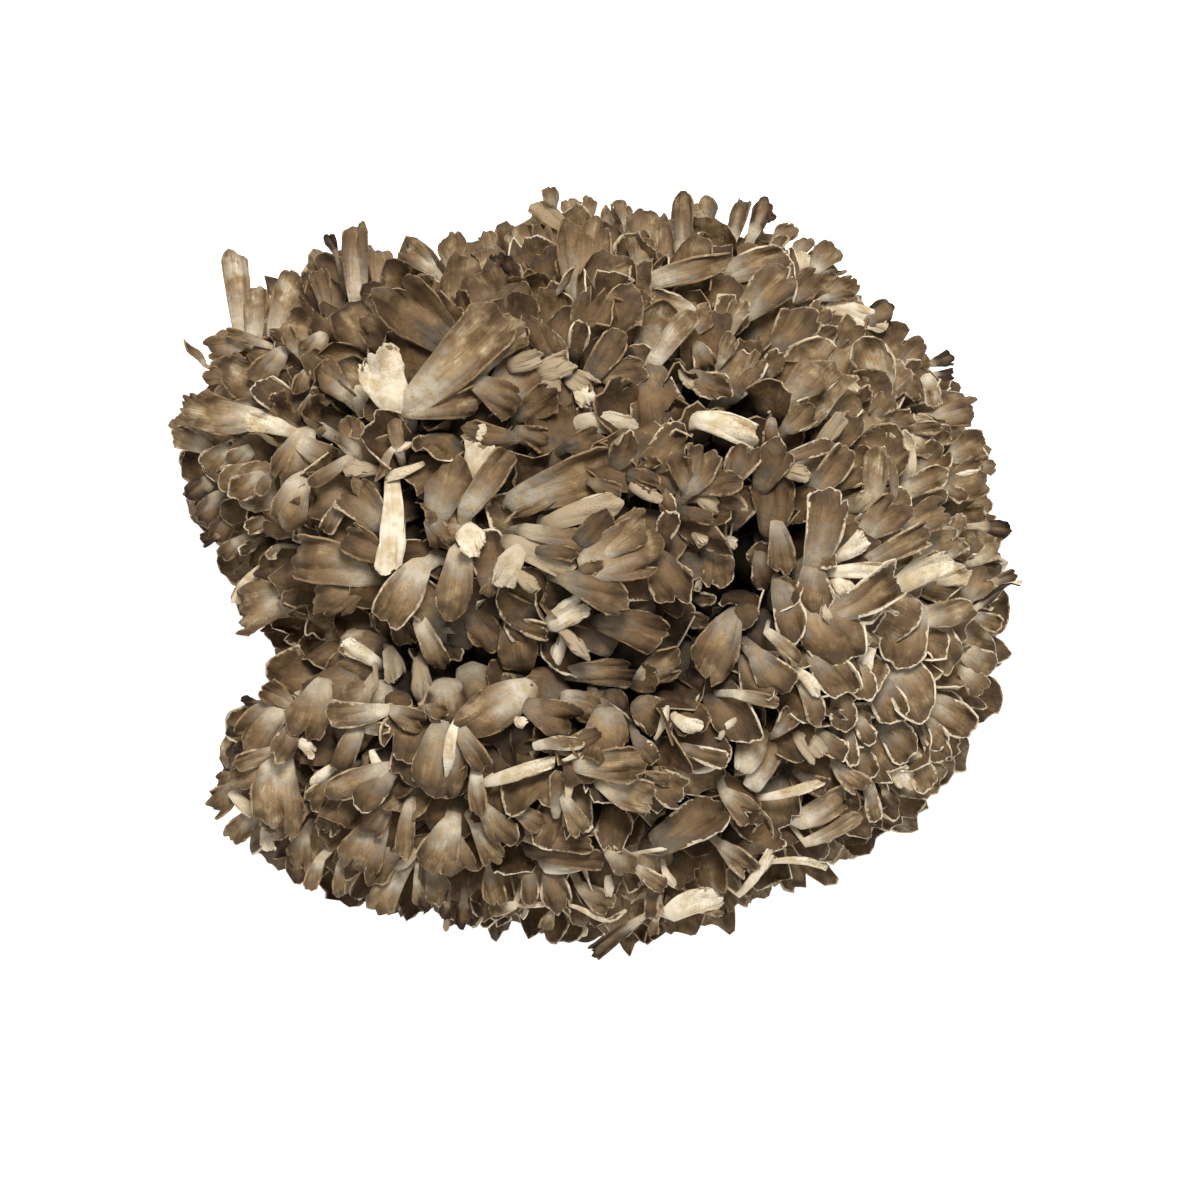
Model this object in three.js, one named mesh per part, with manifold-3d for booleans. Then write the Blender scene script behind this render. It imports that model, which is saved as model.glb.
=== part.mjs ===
// A maitake (hen of the woods), Grifola frondosa, cut off its root and set down on the cut.
//
// The mushroom grew as one piece, so it is one solid. Flesh spreads from a tough stem base into the
// crown, and flattened stalks grow out of it and flare into drooping caps. The caps lie over each
// other like shingles, all pointing away from the middle of the crown. Lengths are millimetres, +Z
// is up, and the origin is the middle of the bounding box on the surface that the cut base stands on.

import * as THREE from "three";
import { mergeVertices } from "three/addons/utils/BufferGeometryUtils.js";
import Module from "manifold-3d";

// ---- driving dimensions --------------------------------------------------------------------

const CROWN_TOP = 182; // height of the crown surface that the fronds grow through
const EQUATOR = 54; // height at which the crown is widest
const LOWEST_ANGLE = 100; // degrees from the crown's top to its lowest fronds
const FROND_REACH = 26; // how far a cap stands out past the crown surface
const FLOOR_GAP = 7; // the lowest frond stays this far above the surface

// Plan of the whole crown: how far the cap tips reach, every 15 degrees anticlockwise from +X.
const REACH = [
  206, 206, 210, 200, 200, 198, 188, 190, 196, 232, 236, 230,
  190, 166, 230, 220, 198, 188, 192, 190, 182, 192, 204, 206,
];

// The deep cleft between the upper and lower lobes, from the notch in the outline inwards.
const CLEFT = [[-170, -36], [-118, -50], [-62, -50], [0, -62], [66, -14]];
const CLEFT_DEPTH = 34;
const CLEFT_WIDTH = 22;

const BASE = {
  x: 4,
  y: -6,
  cutRadius: 50,
  bellyRadius: 63,
  wide: 1.18, // stretch along X
  ribs: [{ count: 3, depth: 0.05, turn: 0.6 }, { count: 7, depth: 0.035, turn: 0 }],
};
const BASE_ROWS = [[BASE.cutRadius, 0], [BASE.cutRadius + 6, 4], [BASE.bellyRadius, 11]]; // radius, height

// From the base to the crown's lowest edge: how far across (0 to 1) and how high the flesh is.
const UNDERSIDE = [[0.3, 17], [0.65, 23]];

const FLESH_DEPTH = 25; // the flesh fills the crown to this depth under its surface
const FLESH_ROWS = [100, 84, 68, 53, 39, 26, 13]; // degrees down from the top
const FLESH_SIDES = 36;

const STALKS = 38; // stalks, each of which forks into several fronds
const FRONDS = 112;
const MIDDLE_CROWDING = 1.12; // over 1, the places crowd towards the top of the crown
const STALK_DEPTH = 50; // depth under the crown surface that the stalks start from
const FROND = {
  stalkRadius: 6.5,
  halfWidth: 34,
  thickness: 5.5, // at the middle of the cap
  rimThickness: 2.6,
  sides: 6,
  droop: 0.2, // how far a cap's edges hang, as a share of its half width
};
const RISE_AT_TOP = 36; // degrees that a frond points upwards at the top of the crown
const RISE_AT_SKIRT = -26; // and at its lowest edge
const VARIETY = { rise: 9, turn: 22, reach: 0.18, size: 0.16 }; // degrees, degrees, shares

const SMALLEST_STEP = 0.1; // finer steps left where fronds join are smoothed away
const FLESH_COLOUR = 0x7d6a52;

// ---- small helpers ---------------------------------------------------------------------------

const radians = THREE.MathUtils.degToRad;
const GOLDEN_ANGLE = Math.PI * (3 - Math.sqrt(5));
const UPWARD = new THREE.Vector3(0, 0, 1);

const wasm = await Module();
wasm.setup();

// A repeatable number from -1 to 1 for a counter and a channel.
function wobble(index, channel) {
  const s = Math.sin(index * 12.9898 + channel * 78.233) * 43758.5453;
  return 2 * (s - Math.floor(s)) - 1;
}

function toSolid(geometry) {
  const bare = new THREE.BufferGeometry().setAttribute("position", geometry.getAttribute("position"));
  bare.setIndex(geometry.index);
  const merged = mergeVertices(bare, 1e-3);
  const mesh = new wasm.Mesh({
    numProp: 3,
    vertProperties: merged.attributes.position.array,
    triVerts: new Uint32Array(merged.index.array),
  });
  mesh.merge();
  const solid = new wasm.Manifold(mesh);
  if (solid.volume() < 0) throw new Error("a solid was made inside out");
  return solid;
}

function toGeometry(solid) {
  const mesh = solid.getMesh();
  return new THREE.BufferGeometry()
    .setAttribute("position", new THREE.BufferAttribute(mesh.vertProperties, 3))
    .setIndex(new THREE.BufferAttribute(mesh.triVerts, 1));
}

const joined = (solids) => solids.reduce((all, next) => all.add(next));

function largestBody(solid) {
  const bodies = solid.decompose();
  return bodies.reduce((best, body) => (body.volume() > best.volume() ? body : best));
}

// ---- the crown's surface ---------------------------------------------------------------------

// How far the crown surface reaches in plan at an angle, smoothly between the hand-set reaches.
function crownRadius(angle) {
  const step = (2 * Math.PI) / REACH.length;
  const at = (((angle / step) % REACH.length) + REACH.length) % REACH.length;
  const from = Math.floor(at);
  const share = (1 - Math.cos((at - from) * Math.PI)) / 2;
  const reach = REACH[from] * (1 - share) + REACH[(from + 1) % REACH.length] * share;
  return reach - FROND_REACH;
}

function cleftDepth(x, y) {
  const here = new THREE.Vector2(x, y);
  let nearest = Infinity;
  for (let i = 0; i + 1 < CLEFT.length; i++) {
    const a = new THREE.Vector2(...CLEFT[i]);
    const along = new THREE.Vector2(...CLEFT[i + 1]).sub(a);
    const share = THREE.MathUtils.clamp(here.clone().sub(a).dot(along) / along.lengthSq(), 0, 1);
    nearest = Math.min(nearest, here.distanceTo(a.clone().addScaledVector(along, share)));
  }
  return CLEFT_DEPTH * Math.exp(-((nearest / CLEFT_WIDTH) ** 2));
}

// The point of the crown at an angle down from its top, shrunk by a depth, and the outward side.
function crownPlace(down, angle, depth) {
  const radius = crownRadius(angle) - depth;
  const rise = CROWN_TOP - EQUATOR - depth * 0.8;
  const outward = new THREE.Vector3(Math.cos(angle), Math.sin(angle), 0);
  const point = outward.clone().multiplyScalar(radius * Math.sin(down));
  point.z = EQUATOR + rise * Math.cos(down) - cleftDepth(point.x, point.y) * Math.cos(down);
  const normal = outward.clone().multiplyScalar(Math.sin(down));
  normal.z = Math.cos(down);
  return { point, normal: normal.normalize(), outward, down };
}

// Places spread evenly over the crown on a sunflower spiral.
function spiralPlace(index, count, depth) {
  const lowest = Math.cos(radians(LOWEST_ANGLE));
  const share = ((index + 0.5) / count) ** MIDDLE_CROWDING;
  const down = Math.acos(1 - share * (1 - lowest));
  return crownPlace(down, index * GOLDEN_ANGLE, depth);
}

// ---- the flesh and the fronds --------------------------------------------------------------------

// A point on the side of the stem base, which is a little ribbed and wider along X.
function basePoint(radius, height, angle) {
  const swell = BASE.ribs.reduce((sum, r) => sum + r.depth * Math.sin(r.count * angle + r.turn), 1);
  return new THREE.Vector3(
    BASE.x + radius * swell * BASE.wide * Math.cos(angle),
    BASE.y + radius * swell * Math.sin(angle),
    height,
  );
}

// One ring of points after another, from the middle of the cut face up to the crown's top.
function fleshPoint(row, angle) {
  if (row === 0) return new THREE.Vector3(BASE.x, BASE.y, 0);
  if (row <= BASE_ROWS.length) return basePoint(...BASE_ROWS[row - 1], angle);
  const under = row - BASE_ROWS.length - 1;
  if (under < UNDERSIDE.length) {
    const [across, height] = UNDERSIDE[under];
    const belly = basePoint(BASE.bellyRadius, height, angle);
    const edge = crownPlace(radians(FLESH_ROWS[0]), angle, FLESH_DEPTH).point;
    return belly.lerp(edge.setZ(height), across);
  }
  const over = under - UNDERSIDE.length;
  return crownPlace(radians(FLESH_ROWS[over] ?? 0), angle, FLESH_DEPTH).point;
}

function flesh() {
  const rows = 1 + BASE_ROWS.length + UNDERSIDE.length + FLESH_ROWS.length;
  const profile = [new THREE.Vector2(0, 0)];
  for (let row = 1; row < rows; row++) profile.push(new THREE.Vector2(1, row));
  profile.push(new THREE.Vector2(0, rows));
  const geometry = new THREE.LatheGeometry(profile, FLESH_SIDES).rotateX(Math.PI / 2);
  const at = geometry.getAttribute("position");
  for (let i = 0; i < at.count; i++) {
    const angle = Math.atan2(at.getY(i), at.getX(i));
    const point = fleshPoint(Math.round(at.getZ(i)), angle);
    at.setXYZ(i, point.x, point.y, point.z);
  }
  return toSolid(geometry);
}

// Along a frond: how far from its root (0 to 1), how wide, and how flat (1 is round).
const FROND_STATIONS = [
  { at: 0.0, width: FROND.stalkRadius, flat: 1 },
  { at: 0.38, width: FROND.stalkRadius * 1.3, flat: 0.8 },
  { at: 0.68, width: FROND.halfWidth * 0.9, flat: 0 },
  { at: 0.93, width: FROND.halfWidth * 0.88, flat: 0 },
];

// A stalk that flares into a cap: a six-sided lathe, flattened and swept along its curved spine.
function frond(place) {
  const profile = [new THREE.Vector2(0, 0)];
  for (const s of FROND_STATIONS) profile.push(new THREE.Vector2(1, s.at));
  profile.push(new THREE.Vector2(0, 1));
  const geometry = new THREE.LatheGeometry(profile, FROND.sides);
  const at = geometry.getAttribute("position");
  const spine = new THREE.QuadraticBezierCurve3(place.root, place.bend, place.tip);
  for (let i = 0; i < at.count; i++) {
    const along = at.getY(i);
    const station = FROND_STATIONS.find((s) => s.at >= along - 1e-6) ?? FROND_STATIONS.at(-1);
    const onAxis = Math.hypot(at.getX(i), at.getZ(i)) < 0.5;
    const thin = THREE.MathUtils.lerp(FROND.thickness, FROND.rimThickness, along ** 3) / 2;
    const halfThick = THREE.MathUtils.lerp(thin, station.width, station.flat);
    const halfWide = station.width * place.size;
    const point = spine.getPoint(along);
    const forward = spine.getTangent(along);
    const side = new THREE.Vector3().crossVectors(forward, place.up).normalize();
    const up = new THREE.Vector3().crossVectors(side, forward).normalize();
    const droop = station.flat ? 0 : FROND.droop * Math.abs(at.getX(i)) * halfWide;
    if (!onAxis) {
      point.addScaledVector(side, at.getX(i) * halfWide);
      point.addScaledVector(up, at.getZ(i) * halfThick - droop);
    }
    at.setXYZ(i, point.x, point.y, point.z);
  }
  return toSolid(geometry);
}

// ---- where everything grows ----------------------------------------------------------------------

const nearestOf = (items, distance) =>
  items.reduce((best, item) => (distance(item) < distance(best) ? item : best));

const stalks = Array.from({ length: STALKS }, (_, i) => spiralPlace(i, STALKS, STALK_DEPTH).point);

// Fronds near the top stand up, and those down the sides reach out and droop.
function growFrond(index) {
  const place = spiralPlace(index, FRONDS, 0);
  const root = nearestOf(stalks, (s) => s.distanceTo(place.point));
  const slope = THREE.MathUtils.mapLinear(place.down, 0, radians(LOWEST_ANGLE), RISE_AT_TOP, RISE_AT_SKIRT);
  const rise = radians(slope + VARIETY.rise * wobble(index, 1));
  const ahead = place.outward.clone().applyAxisAngle(UPWARD, radians(VARIETY.turn * wobble(index, 2)));
  ahead.multiplyScalar(Math.cos(rise)).setZ(Math.sin(rise));
  const reach = FROND_REACH * (1 + VARIETY.reach * wobble(index, 3));
  const tip = place.point.clone().addScaledVector(ahead, reach);
  const bend = place.point.clone().addScaledVector(ahead, -0.7 * reach).addScaledVector(place.normal, 6);
  tip.z = Math.max(tip.z, FLOOR_GAP + FROND.rimThickness);
  bend.z = Math.max(bend.z, FLOOR_GAP + 2 * FROND.stalkRadius);
  const side = new THREE.Vector3().crossVectors(ahead, UPWARD);
  const up = side.cross(ahead).normalize();
  return frond({ root, bend, tip, up, size: 1 + VARIETY.size * wobble(index, 4) });
}

// ---- putting it together --------------------------------------------------------------------------

const grown = joined([flesh(), ...Array.from({ length: FRONDS }, (_, i) => growFrond(i))]);
const body = largestBody(grown.simplify(SMALLEST_STEP));
const looks = { color: FLESH_COLOUR, roughness: 0.75, metalness: 0, flatShading: true };
const mushroom = new THREE.Mesh(toGeometry(body), new THREE.MeshStandardMaterial(looks));
mushroom.name = "fruiting_body";

const crown = new THREE.Group();
crown.name = "maitake";
crown.add(mushroom);

const box = new THREE.Box3().setFromObject(crown);
const middle = box.getCenter(new THREE.Vector3());
crown.position.set(-middle.x, -middle.y, -box.min.z);

export default crown;
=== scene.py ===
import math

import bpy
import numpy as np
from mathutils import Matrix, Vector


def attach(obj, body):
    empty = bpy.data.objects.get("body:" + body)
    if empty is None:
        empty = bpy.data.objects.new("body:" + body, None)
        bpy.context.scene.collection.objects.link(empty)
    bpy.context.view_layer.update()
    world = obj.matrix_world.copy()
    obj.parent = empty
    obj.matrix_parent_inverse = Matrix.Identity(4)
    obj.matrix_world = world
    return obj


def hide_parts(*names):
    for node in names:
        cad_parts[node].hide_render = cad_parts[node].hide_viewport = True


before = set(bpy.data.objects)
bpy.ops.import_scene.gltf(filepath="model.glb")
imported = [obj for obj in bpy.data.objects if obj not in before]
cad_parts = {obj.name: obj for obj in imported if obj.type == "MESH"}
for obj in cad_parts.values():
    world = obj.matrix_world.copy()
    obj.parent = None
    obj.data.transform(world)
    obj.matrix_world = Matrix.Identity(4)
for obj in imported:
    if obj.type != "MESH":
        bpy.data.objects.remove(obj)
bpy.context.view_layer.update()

# A maitake (hen of the woods), Grifola frondosa. It grew as one piece: flesh that spreads from a cut
# stem base, and more than a thousand fronds growing from it that overlap like shingles. The fronds
# are held in one mesh for each lobe of the crown, only to keep each mesh to a workable size.
#
# Lengths in the tables and in the growing functions are millimetres, in the crown's own plan: its
# origin is near the middle of the crown, and HOME is where the frame has it.

MM = 0.001

# ---- driving dimensions -----------------------------------------------------------------------

CROWN_TOP = 182  # height of the surface that the fronds grow through
EQUATOR = 54  # height at which the crown is widest
LOWEST_ANGLE = 100  # degrees from the crown's top to its lowest fronds
ROOT_REACH = 26  # how far the cap tips stand out past the surface that roots are measured from
CAP_REACH = 13  # how far they stand out past the middles of the caps
TUCK = (9, 6)  # how much further in the caps lie at the crown's front and at its left
FLOOR_GAP = 5  # nothing but the stem base comes nearer to the ground
HOME = np.array([9.5, -2.2, 0.0])  # the crown's origin in the frame
BASE_MIDDLE = np.array([4.0, -6.0])  # the stem base in the crown's plan
BASE_WIDE = 1.18  # its stretch along X
BASE_RIBS = [(3, 0.05, 0.6), (7, 0.035, 0.0)]  # how many, how deep as a share, and turned how far
BASE_ROWS = [(50, 0), (56, 4), (63, 11)]  # radius and height of the stem base
UNDERSIDE = [(0.3, 17), (0.65, 23)]  # share of the way out to the crown's edge, and height
FLESH_ROWS = [(100, 25), (84, 30), (68, 36), (53, 38), (39, 38), (26, 38), (13, 38)]  # angle down, depth

# How far the cap tips reach in plan, every 15 degrees anticlockwise from +X.
REACH = np.array([
    206, 206, 210, 200, 200, 198, 188, 190, 196, 232, 236, 230,
    190, 166, 230, 220, 198, 188, 192, 190, 182, 192, 204, 206,
])

# The deep cleft between the upper and lower lobes, from the notch in the outline inwards.
CLEFT = np.array([(-170, -36), (-118, -50), (-62, -50), (0, -62), (66, -14)])
CLEFT_DEPTH = 34
CLEFT_WIDTH = 22

LOBES = {
    "left": (-118, 58), "top": (-10, 112), "right": (128, 62), "lower_right": (120, -56),
    "bottom": (12, -118), "lower_left": (-118, -100), "middle": (-8, 8),
}
STALKS = 38
MIDDLE_CROWDING = 1.12
STALK_DEPTH = 50
GOLDEN_ANGLE = math.pi * (3 - math.sqrt(5))

# Dark holes between the fronds: x, y, radius and depth.
HOLES = [
    (-62, -50, 15, 26), (60, -8, 11, 24), (-19, 116, 8, 20), (26, 122, 8, 20), (14, 110, 6, 16),
    (111, 90, 7, 18), (75, 95, 9, 16), (83, 113, 6, 14), (-97, 105, 9, 16), (-130, 79, 7, 14),
    (-36, 54, 8, 14), (-153, -42, 5, 10),
]

# The middles that fronds turn away from, in plan, and how strongly each one draws.
WHORLS = [((-92, 66), 1.0), ((52, 44), 1.2), ((-88, -62), 0.8), ((6, -72), 0.9), ((80, -24), 0.7)]

# What the fronds are like in each part of the crown: where it is, how steeply they rise in degrees,
# how loosely they scatter, how wide they are, how pale their skin and their margin are, their kind.
REGIONS = [
    (-150, 90, 40, 0.45, 27, 0.50, 0.15, "tongues"),
    (-190, 40, 18, 0.20, 24, 0.48, 0.45, "scales"),
    (-95, 115, 44, 0.55, 32, 0.38, 0.10, "fans"),
    (0, 150, 34, 0.50, 34, 0.50, 0.20, "fans"),
    (-25, 108, 34, 0.55, 32, 0.22, 0.25, "fans"),
    (-90, 30, 46, 0.60, 28, 0.36, 0.25, "spoons"),
    (10, 20, 32, 0.45, 33, 0.34, 0.45, "fans"),
    (60, 50, 50, 0.55, 22, 0.24, 0.40, "cups"),
    (100, 105, 28, 0.35, 31, 0.50, 0.50, "fans"),
    (165, 30, 24, 0.32, 27, 0.58, 0.65, "fans"),
    (150, -55, 14, 0.14, 27, 0.52, 1.00, "scales"),
    (95, -105, 26, 0.35, 29, 0.42, 0.65, "frills"),
    (15, -135, 30, 0.50, 28, 0.40, 0.50, "frills"),
    (-110, -115, 26, 0.30, 28, 0.38, 0.35, "spoons"),
    (-25, -85, 34, 0.45, 31, 0.34, 0.40, "fans"),
    (-135, -10, 30, 0.35, 30, 0.46, 0.30, "fans"),
]
REGION_SIZE = 34

SPACING = (13.0, 17.0)  # between caps, at the whorls' middles and out on the lobes
# Painted light and shade: the caps' tone is shifted paler toward the crown's edge and darker at its middle.
PAINTED_RIM_LIGHT = 0.36  # how much paler caps get from the crown's middle to its edge
INNER_LAYERS = [(15, 19.0), (30, 23.0)]  # depth of each hidden layer, and between its fronds
SINK = 14.0  # how far a frond sinks where one whose place is known lies over it

# ---- the crown --------------------------------------------------------------------------------


def unit(v):
    return v / np.maximum(np.linalg.norm(v, axis=-1, keepdims=True), 1e-9)


def smooth(low, high, value):
    share = np.clip((value - low) / (high - low), 0, 1)
    return share * share * (3 - 2 * share)


def reach_at(angle, inset):
    at = (angle / (2 * math.pi / len(REACH))) % len(REACH)
    low = np.floor(at).astype(int) % len(REACH)
    share = (1 - np.cos((at - np.floor(at)) * math.pi)) / 2
    return REACH[low] * (1 - share) + REACH[(low + 1) % len(REACH)] * share - inset


def cleft_depth(x, y):
    here = np.stack([x, y], -1)
    nearest = np.full(here.shape[:-1], np.inf)
    for a, b in zip(CLEFT[:-1], CLEFT[1:]):
        along = (b - a).astype(float)
        share = np.clip(((here - a) @ along) / (along @ along), 0, 1)
        nearest = np.minimum(nearest, np.linalg.norm(here - a - share[..., None] * along, axis=-1))
    return CLEFT_DEPTH * np.exp(-((nearest / CLEFT_WIDTH) ** 2))


def hole_depth(x, y):
    return sum(deep * np.exp(-((x - hx) ** 2 + (y - hy) ** 2) / radius ** 2)
               for hx, hy, radius, deep in HOLES)


def swell(x, y):
    """Low swells of the crown, a few centimetres across."""
    wave = np.sin(x / 19 + 1.3) * np.cos(y / 23 - 0.4) + 0.7 * np.sin(x / 31 - y / 17 + 2.1)
    return 4.5 * wave


def root_point(down, angle, depth):
    """The smooth surface that stalks are measured from, in the crown's plan, shrunk by a depth."""
    radius = reach_at(angle, ROOT_REACH) - depth
    rise = CROWN_TOP - EQUATOR - depth * 0.8
    x = radius * np.sin(down) * np.cos(angle)
    y = radius * np.sin(down) * np.sin(angle)
    z = EQUATOR + rise * np.cos(down) - cleft_depth(x, y) * np.cos(down)
    return np.stack([x, y, z], -1)


def cap_inset(angle):
    """How far in from the outline the middles of caps lie, further at the front and at the left."""
    front = np.maximum(0, -np.sin(angle)) ** 2
    left = np.maximum(0, -np.cos(angle)) ** 2
    return CAP_REACH + TUCK[0] * front + TUCK[1] * left


def cap_point(down, angle, depth=0.0):
    """Where the middles of caps lie, at an angle down from the crown's top, sunk by a depth."""
    radius = reach_at(angle, cap_inset(angle)) - depth
    x = radius * np.sin(down) * np.cos(angle)
    y = radius * np.sin(down) * np.sin(angle)
    level = np.maximum(np.cos(down), 0)
    z = EQUATOR + (CROWN_TOP - EQUATOR - depth) * np.cos(down)
    z = z + (swell(x, y) - cleft_depth(x, y) - hole_depth(x, y)) * level
    return np.stack([x, y, z], -1)


def cap_normal(down, angle):
    step = 0.02
    across = cap_point(down, angle + step) - cap_point(down, angle - step)
    below = cap_point(down + step, angle) - cap_point(down - step, angle)
    return unit(np.cross(below, across))


def buried(points):
    """How deep points lie under the crown's open surface, with the cleft and the holes half filled. The
    materials paint shade darker with this depth.
    """
    x, y, z = points[:, 0], points[:, 1], points[:, 2]
    radius = np.hypot(x, y)
    angle = np.arctan2(y, x)
    edge = reach_at(angle, cap_inset(angle))
    inside = np.clip(radius / edge, 0, 1)
    level = np.sqrt(1 - inside ** 2)
    top = EQUATOR + (CROWN_TOP - EQUATOR) * level
    top = top + (swell(x, y) - 0.45 * cleft_depth(x, y) - 0.3 * hole_depth(x, y)) * level
    inward = (edge - radius) * 0.9
    below = np.where(z > EQUATOR, top - z, inward)
    return np.maximum(np.minimum(below, inward), 0)


def spiral(index, count):
    share = ((index + 0.5) / count) ** MIDDLE_CROWDING
    return math.acos(1 - share * (1 - math.cos(math.radians(LOWEST_ANGLE)))), index * GOLDEN_ANGLE


def stalk_starts():
    """Where the stalks that fork into fronds start from, and the lobe that each one is in."""
    places, lobes = [], []
    for i in range(STALKS):
        down, angle = spiral(i, STALKS)
        outer = root_point(down, np.array(angle), 0)
        lobes.append(min(LOBES, key=lambda n: math.hypot(LOBES[n][0] - outer[0], LOBES[n][1] - outer[1])))
        places.append(root_point(down, np.array(angle), STALK_DEPTH))
    return np.array(places), lobes


def to_frame(points):
    """From the crown's plan in millimetres to the frame in metres."""
    return (points + HOME) * MM


# ---- the view ---------------------------------------------------------------------------------

VIEW_RISE = math.radians(77)  # the camera looks down on the crown at this angle
VIEW_DISTANCE = 2000
VIEW_LENS = 120
VIEW_WIDTH = 600  # what the picture takes in, at the crown's middle
VIEW_CENTRE = -15  # the picture's middle, below the crown's
AIM = np.array([0.0, VIEW_CENTRE, 95.0])
HIGHEST_FLANK = 0.92  # share of the reach past which a placed frond grows from the flank

VIEW_RIGHT = np.array([1.0, 0.0, 0.0])
VIEW_BACK = np.array([0.0, -math.cos(VIEW_RISE), math.sin(VIEW_RISE)])
VIEW_UP = np.array([0.0, math.sin(VIEW_RISE), math.cos(VIEW_RISE)])
EYE = AIM + VIEW_BACK * VIEW_DISTANCE


def seen_at(across, up, lift=0.0):
    """The crown's point that is seen so far across and up from the middle of the crown."""
    ray = unit(AIM + VIEW_RIGHT * across + VIEW_UP * (up - VIEW_CENTRE) - EYE)
    height = 150.0
    for _ in range(14):
        point = EYE + ray * ((height - EYE[2]) / ray[2])
        angle = np.array(math.atan2(point[1], point[0]))
        inside = min(math.hypot(point[0], point[1]) / float(reach_at(angle, CAP_REACH)), HIGHEST_FLANK)
        height = 0.5 * height + 0.5 * (float(cap_point(math.asin(inside), angle)[2]) + lift)
    return EYE + ray * ((height - EYE[2]) / ray[2])


# ---- one frond ----------------------------------------------------------------------------------

# Each style: the neck's share of the width, how soon the sides widen, how round the far end is (1 is
# a half circle), how the cap cups and droops in radians, its ruffle, fine folds and ragged rim.
STYLES = {
    "fan": dict(
        neck=0.30, widen=0.72, round=0.72, cup=0.7,
        droop=0.70, ruffle=0.110, folds=0.010, ragged=0.024, slits=1),
    "shingle": dict(
        neck=0.46, widen=0.62, round=0.85, cup=0.6,
        droop=0.35, ruffle=0.050, folds=0.010, ragged=0.020),
    "tongue": dict(
        neck=0.52, widen=0.70, round=0.90, cup=1.3,
        droop=0.65, ruffle=0.060, folds=0.010, ragged=0.018),
    "spoon": dict(
        neck=0.38, widen=0.62, round=1.00, cup=-1.3,
        droop=0.95, ruffle=0.055, folds=0.010, ragged=0.014),
    "cup": dict(
        neck=0.36, widen=0.70, round=0.80, cup=2.1,
        droop=-0.1, ruffle=0.090, folds=0.012, ragged=0.024),
    "frill": dict(
        neck=0.30, widen=0.85, round=0.75, cup=0.3,
        droop=0.60, ruffle=0.180, folds=0.014, ragged=0.034, slits=2),
    "split": dict(
        neck=0.34, widen=0.80, round=0.65, cup=0.5,
        droop=0.40, ruffle=0.130, folds=0.012, ragged=0.028, slits=3),
    "slab": dict(
        neck=0.50, widen=0.80, round=0.60, cup=0.7,
        droop=0.30, ruffle=0.110, folds=0.010, ragged=0.070, sway=0.17),
    "strip": dict(
        neck=0.40, widen=0.80, round=1.00, cup=1.2,
        droop=0.60, ruffle=0.160, folds=0.000, ragged=0.100, sway=0.34),
    "stem": dict(
        neck=0.50, widen=1.10, round=0.55, cup=2.4,
        droop=0.20, ruffle=0.030, folds=0.010, ragged=0.030, thick=5.5, sway=0.17),
    "crumb": dict(
        neck=0.70, widen=0.80, round=0.50, cup=0.4,
        droop=0.30, ruffle=0.220, folds=0.050, ragged=0.080, thick=3.5),
}
KINDS = {
    "scales": dict(shingle=0.62, fan=0.26, frill=0.12),
    "fans": dict(fan=0.42, shingle=0.20, tongue=0.12, frill=0.14, split=0.12),
    "tongues": dict(tongue=0.36, fan=0.34, cup=0.12, frill=0.10, split=0.08),
    "spoons": dict(spoon=0.34, fan=0.30, tongue=0.18, cup=0.08, split=0.10),
    "frills": dict(frill=0.40, fan=0.28, split=0.16, tongue=0.16),
    "cups": dict(cup=0.44, tongue=0.24, fan=0.22, frill=0.10),
}
BARE = ("stem", "crumb")  # have no skin: their flesh shows all over
STALK_SHARE = 0.25  # of the blank's length, the rest is the cap's
RIM_THICKNESS = 0.9
CAP_THICKNESS = 2.2
RAGGED_STEPS = 44
CRUMPLE = 0.062  # height of the soft creases, as a share of the width
ARCH = 0.75  # how steeply a stalk comes up before its cap lies down, in radians
ARCH_SHARE = 0.20  # and within how much of the cap it does so


def march(start, ahead, side, length, turns):
    """A path that sets out ahead and turns about its side, by a row of small angles."""
    points, p, d = [start], start.copy(), ahead.copy()
    for turn in turns:
        d = d * math.cos(turn) + np.cross(side, d) * math.sin(turn)
        p = p + d * (length / len(turns))
        points.append(p)
    return np.array(points)


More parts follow.
